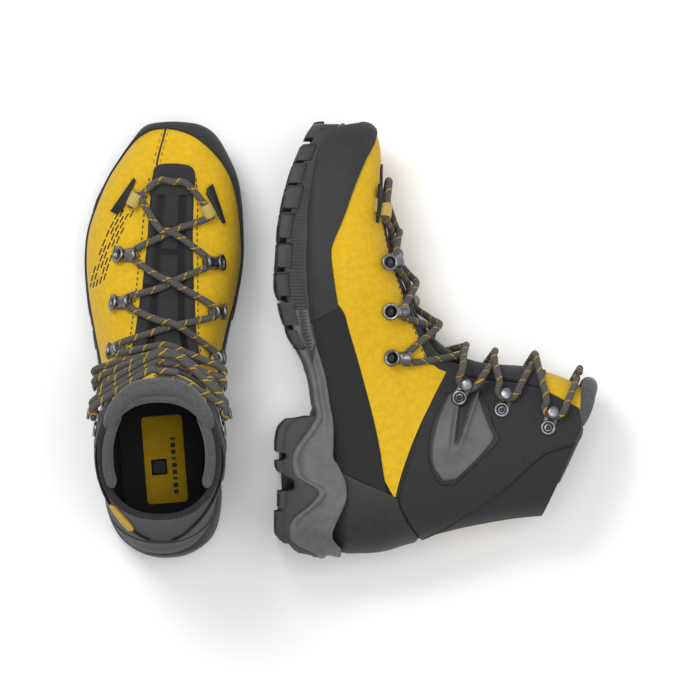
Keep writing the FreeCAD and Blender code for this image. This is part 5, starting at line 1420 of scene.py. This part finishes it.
def make_footbed():
    """The dished footbed, with a yellow label that carries a square and a column of dashes."""
    build = Build()
    bed = smooth_line([(282, 34), (250, 28), (203, 25.8), (178, 26.8), (150, 31), (118, 37.2), (84, 41.8),
                       (50, 43.4), (26, 44)], 6)
    top, low = [], []
    for y, z in bed:
        place = np.array(place_of(y, z))
        right = on_skin(place, -5.6)
        left = on_skin((place[0], 2 - place[1]), -5.6)
        shares = np.linspace(0, 1, 26)
        x = left[0] + (right[0] - left[0]) * shares
        edge = np.abs(shares - 0.5) * 2
        rise = 4.2 + 2.4 * edge ** 5
        top.append(np.column_stack([x, np.full(26, y), z + rise]))
        low.append(np.column_stack([x, np.full(26, y), np.full(26, z + 1.9)]))
    top, low = np.array(top), np.array(low)
    build.slab(top, low, top[..., :2] * MM)
    set_on_boots("footbed", build, "footbed", replaces=["footbed"])
    label, mark = Build(), Build()

    def on_bed(x, y, lift):
        return (x, y, float(np.interp(y, [20, 50, 84, 118], [44, 43.4, 41.8, 37.2])) + 4.2 + lift)

    def flat_piece(build, outline, rise):
        """A thin flat piece on the footbed, tilted with the label, its outline about the label's middle."""
        middle = outline.mean(axis=0)
        build.rings([[on_bed(*(LABEL + TILTED @ (p * share + middle * (1 - share))), lift) for p in outline]
                     for share, lift in ((0.02, -0.3), (1.0, -0.3), (1.0, rise - 0.25), (0.985, rise),
                                         (0.6, rise), (0.02, rise))])

    flat_piece(label, rounded_box(28.2, 60.6, 3.0), 0.9)
    flat_piece(mark, rounded_box(11, 11, 1.0) + (-4.0, -5.0), 1.15)
    for k in range(9):
        flat_piece(mark, rounded_box(3.2, 3.0 if k % 3 else 1.6, 0.3) + (6.5, 14 - k * 4.6), 1.15)
    set_on_boots("footbed_label", label, "yellow", replaces=["footbed_label"])
    set_on_boots("footbed_mark", mark, "lip")


def finish_hidden():
    """The board and the shank, out of sight under the footbed, keep their CAD shape."""
    for side in ("left", "right"):
        for node, finish in (("insole_board", "black"), ("shank_plate", "metal")):
            piece = bpy.data.objects[side + "_" + node]
            piece.data.materials.clear()
            piece.data.materials.append(FINISH[finish])


def make_toe_seam():
    """The raised seam from the rand to the tongue, with a row of stitches on each side."""
    seam, thread = Build(), Build()
    line = plan_places([(3.5, 297), (1.5, 289), (-1, 280), (-3, 271)])
    path = np.array([on_skin(p, -0.15) for p in evenly(line, np.linspace(0, 1, 24))])
    seam.tube(path, 0.75, around=10, flat=0.6)
    set_on_boots("toe_seam", seam, "lip")
    for side in (-1, 1):
        stitch_row(thread, evenly(line, np.linspace(0, 1, 20)) + (0, 0.022 * side), 0.12)
    set_on_boots("toe_stitches", thread, "yellow_thread")


def make_hatch():
    """A printed band of short dark dashes in five parallel rows along the lateral side of the yellow."""
    build = Build()
    spine = np.array(smooth_line([(-21.3, 243.7), (-31.6, 225.2), (-39.8, 204.6), (-45.3, 185.4)], 8))
    across = np.gradient(spine, axis=0)
    across = np.column_stack([-across[:, 1], across[:, 0]]) / np.linalg.norm(across, axis=1)[:, None]
    for row in range(5):
        low = plan_places(spine + across * (row * 2.1 - 4.6))
        high = plan_places(spine + across * (row * 2.1 - 3.7))
        length = line_length(low)
        starts = np.arange(2.2 + 3.4 * (row % 2), length - 6, 6.8)
        for k, start in enumerate(starts):
            if (k + 3 * row) % 7 == 6:
                continue
            shares = np.linspace(start, start + 5.2, 4) / length
            panel(build, evenly(low, shares), evenly(high, shares), base=0.02, thick=0.12, under=0.3,
                  radius=0.1, size=1.5)
    set_on_boots("hatch_band", build, "lip")


def make_heel_patch():
    """The small yellow patch at the rear of the collar, on the lateral side."""
    build = Build()
    low = other_side(medial([(20.2, 110.5), (29, 123), (38.8, 137)]))
    high = other_side(medial([(20.2, 118), (28, 145), (36.4, 172)]))
    panel(build, low, high, base=0.1, thick=0.9, under=1.2, radius=0.8, size=1.8)
    set_on_boots("collar_patch", build, "yellow", body="cuff")


make_vamps()
make_toe_seam()
make_hatch()
make_heel_patch()
make_rand()
make_quarters()
make_heel()
make_cuff_base()
make_softshell()
make_collar()
make_inner_lining()
make_inserts()
make_tongue()
make_tongue_top()
make_midsole()
make_outsole()
make_hooks()
make_toe_loops()
make_lace()
make_footbed()
finish_hidden()

# ---------------------------------------------------------------- stage, light and camera


def stage():
    """A white floor, soft light from above and a camera that looks straight down."""
    low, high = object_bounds()
    middle = (np.array(low) + np.array(high)) / 2
    floor_mesh = bpy.data.meshes.new("floor")
    size = 6.0
    floor_mesh.from_pydata([(-size, -size, 0), (size, -size, 0), (size, size, 0), (-size, size, 0)], [],
                           [[0, 1, 2, 3]])
    floor = bpy.data.objects.new("floor", floor_mesh)
    bpy.context.scene.collection.objects.link(floor)
    paper = bpy.data.materials.new("floor_paper")
    paper.use_nodes = True
    paper.node_tree.nodes["Principled BSDF"].inputs["Base Color"].default_value = (0.95, 0.95, 0.95, 1)
    paper.node_tree.nodes["Principled BSDF"].inputs["Roughness"].default_value = 0.95
    floor_mesh.materials.append(paper)
    floor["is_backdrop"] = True

    world = bpy.data.worlds.new("studio")
    world.use_nodes = True
    world.node_tree.nodes["Background"].inputs["Color"].default_value = (1, 1, 1, 1)
    world.node_tree.nodes["Background"].inputs["Strength"].default_value = 0.62
    bpy.context.scene.world = world

    def area(name, place, power, size):
        light = bpy.data.lights.new(name, "AREA")
        light.energy = power
        light.size = size
        lamp = bpy.data.objects.new(name, light)
        lamp.location = place
        lamp.rotation_euler = (Vector((middle[0], middle[1], 0.05)) - Vector(place)).to_track_quat(
            "-Z", "Y").to_euler()
        bpy.context.scene.collection.objects.link(lamp)

    area("key", (-0.55, 0.75, 1.6), 15, 0.6)
    area("fill", (0.9, -0.2, 1.5), 4, 1.2)
    area("top", (0.05, 0.0, 2.2), 12, 0.8)

    camera_data = bpy.data.cameras.new("camera")
    camera_data.lens = 462.0
    camera_data.sensor_width = 36
    camera_data.clip_end = 20
    camera = bpy.data.objects.new("camera", camera_data)
    camera.location = (-0.0007, -0.0003, 6.09)
    camera.rotation_euler = (0, 0, 0)
    bpy.context.scene.collection.objects.link(camera)
    bpy.context.scene.camera = camera
    bpy.context.scene.view_settings.view_transform = "Standard"


stage()
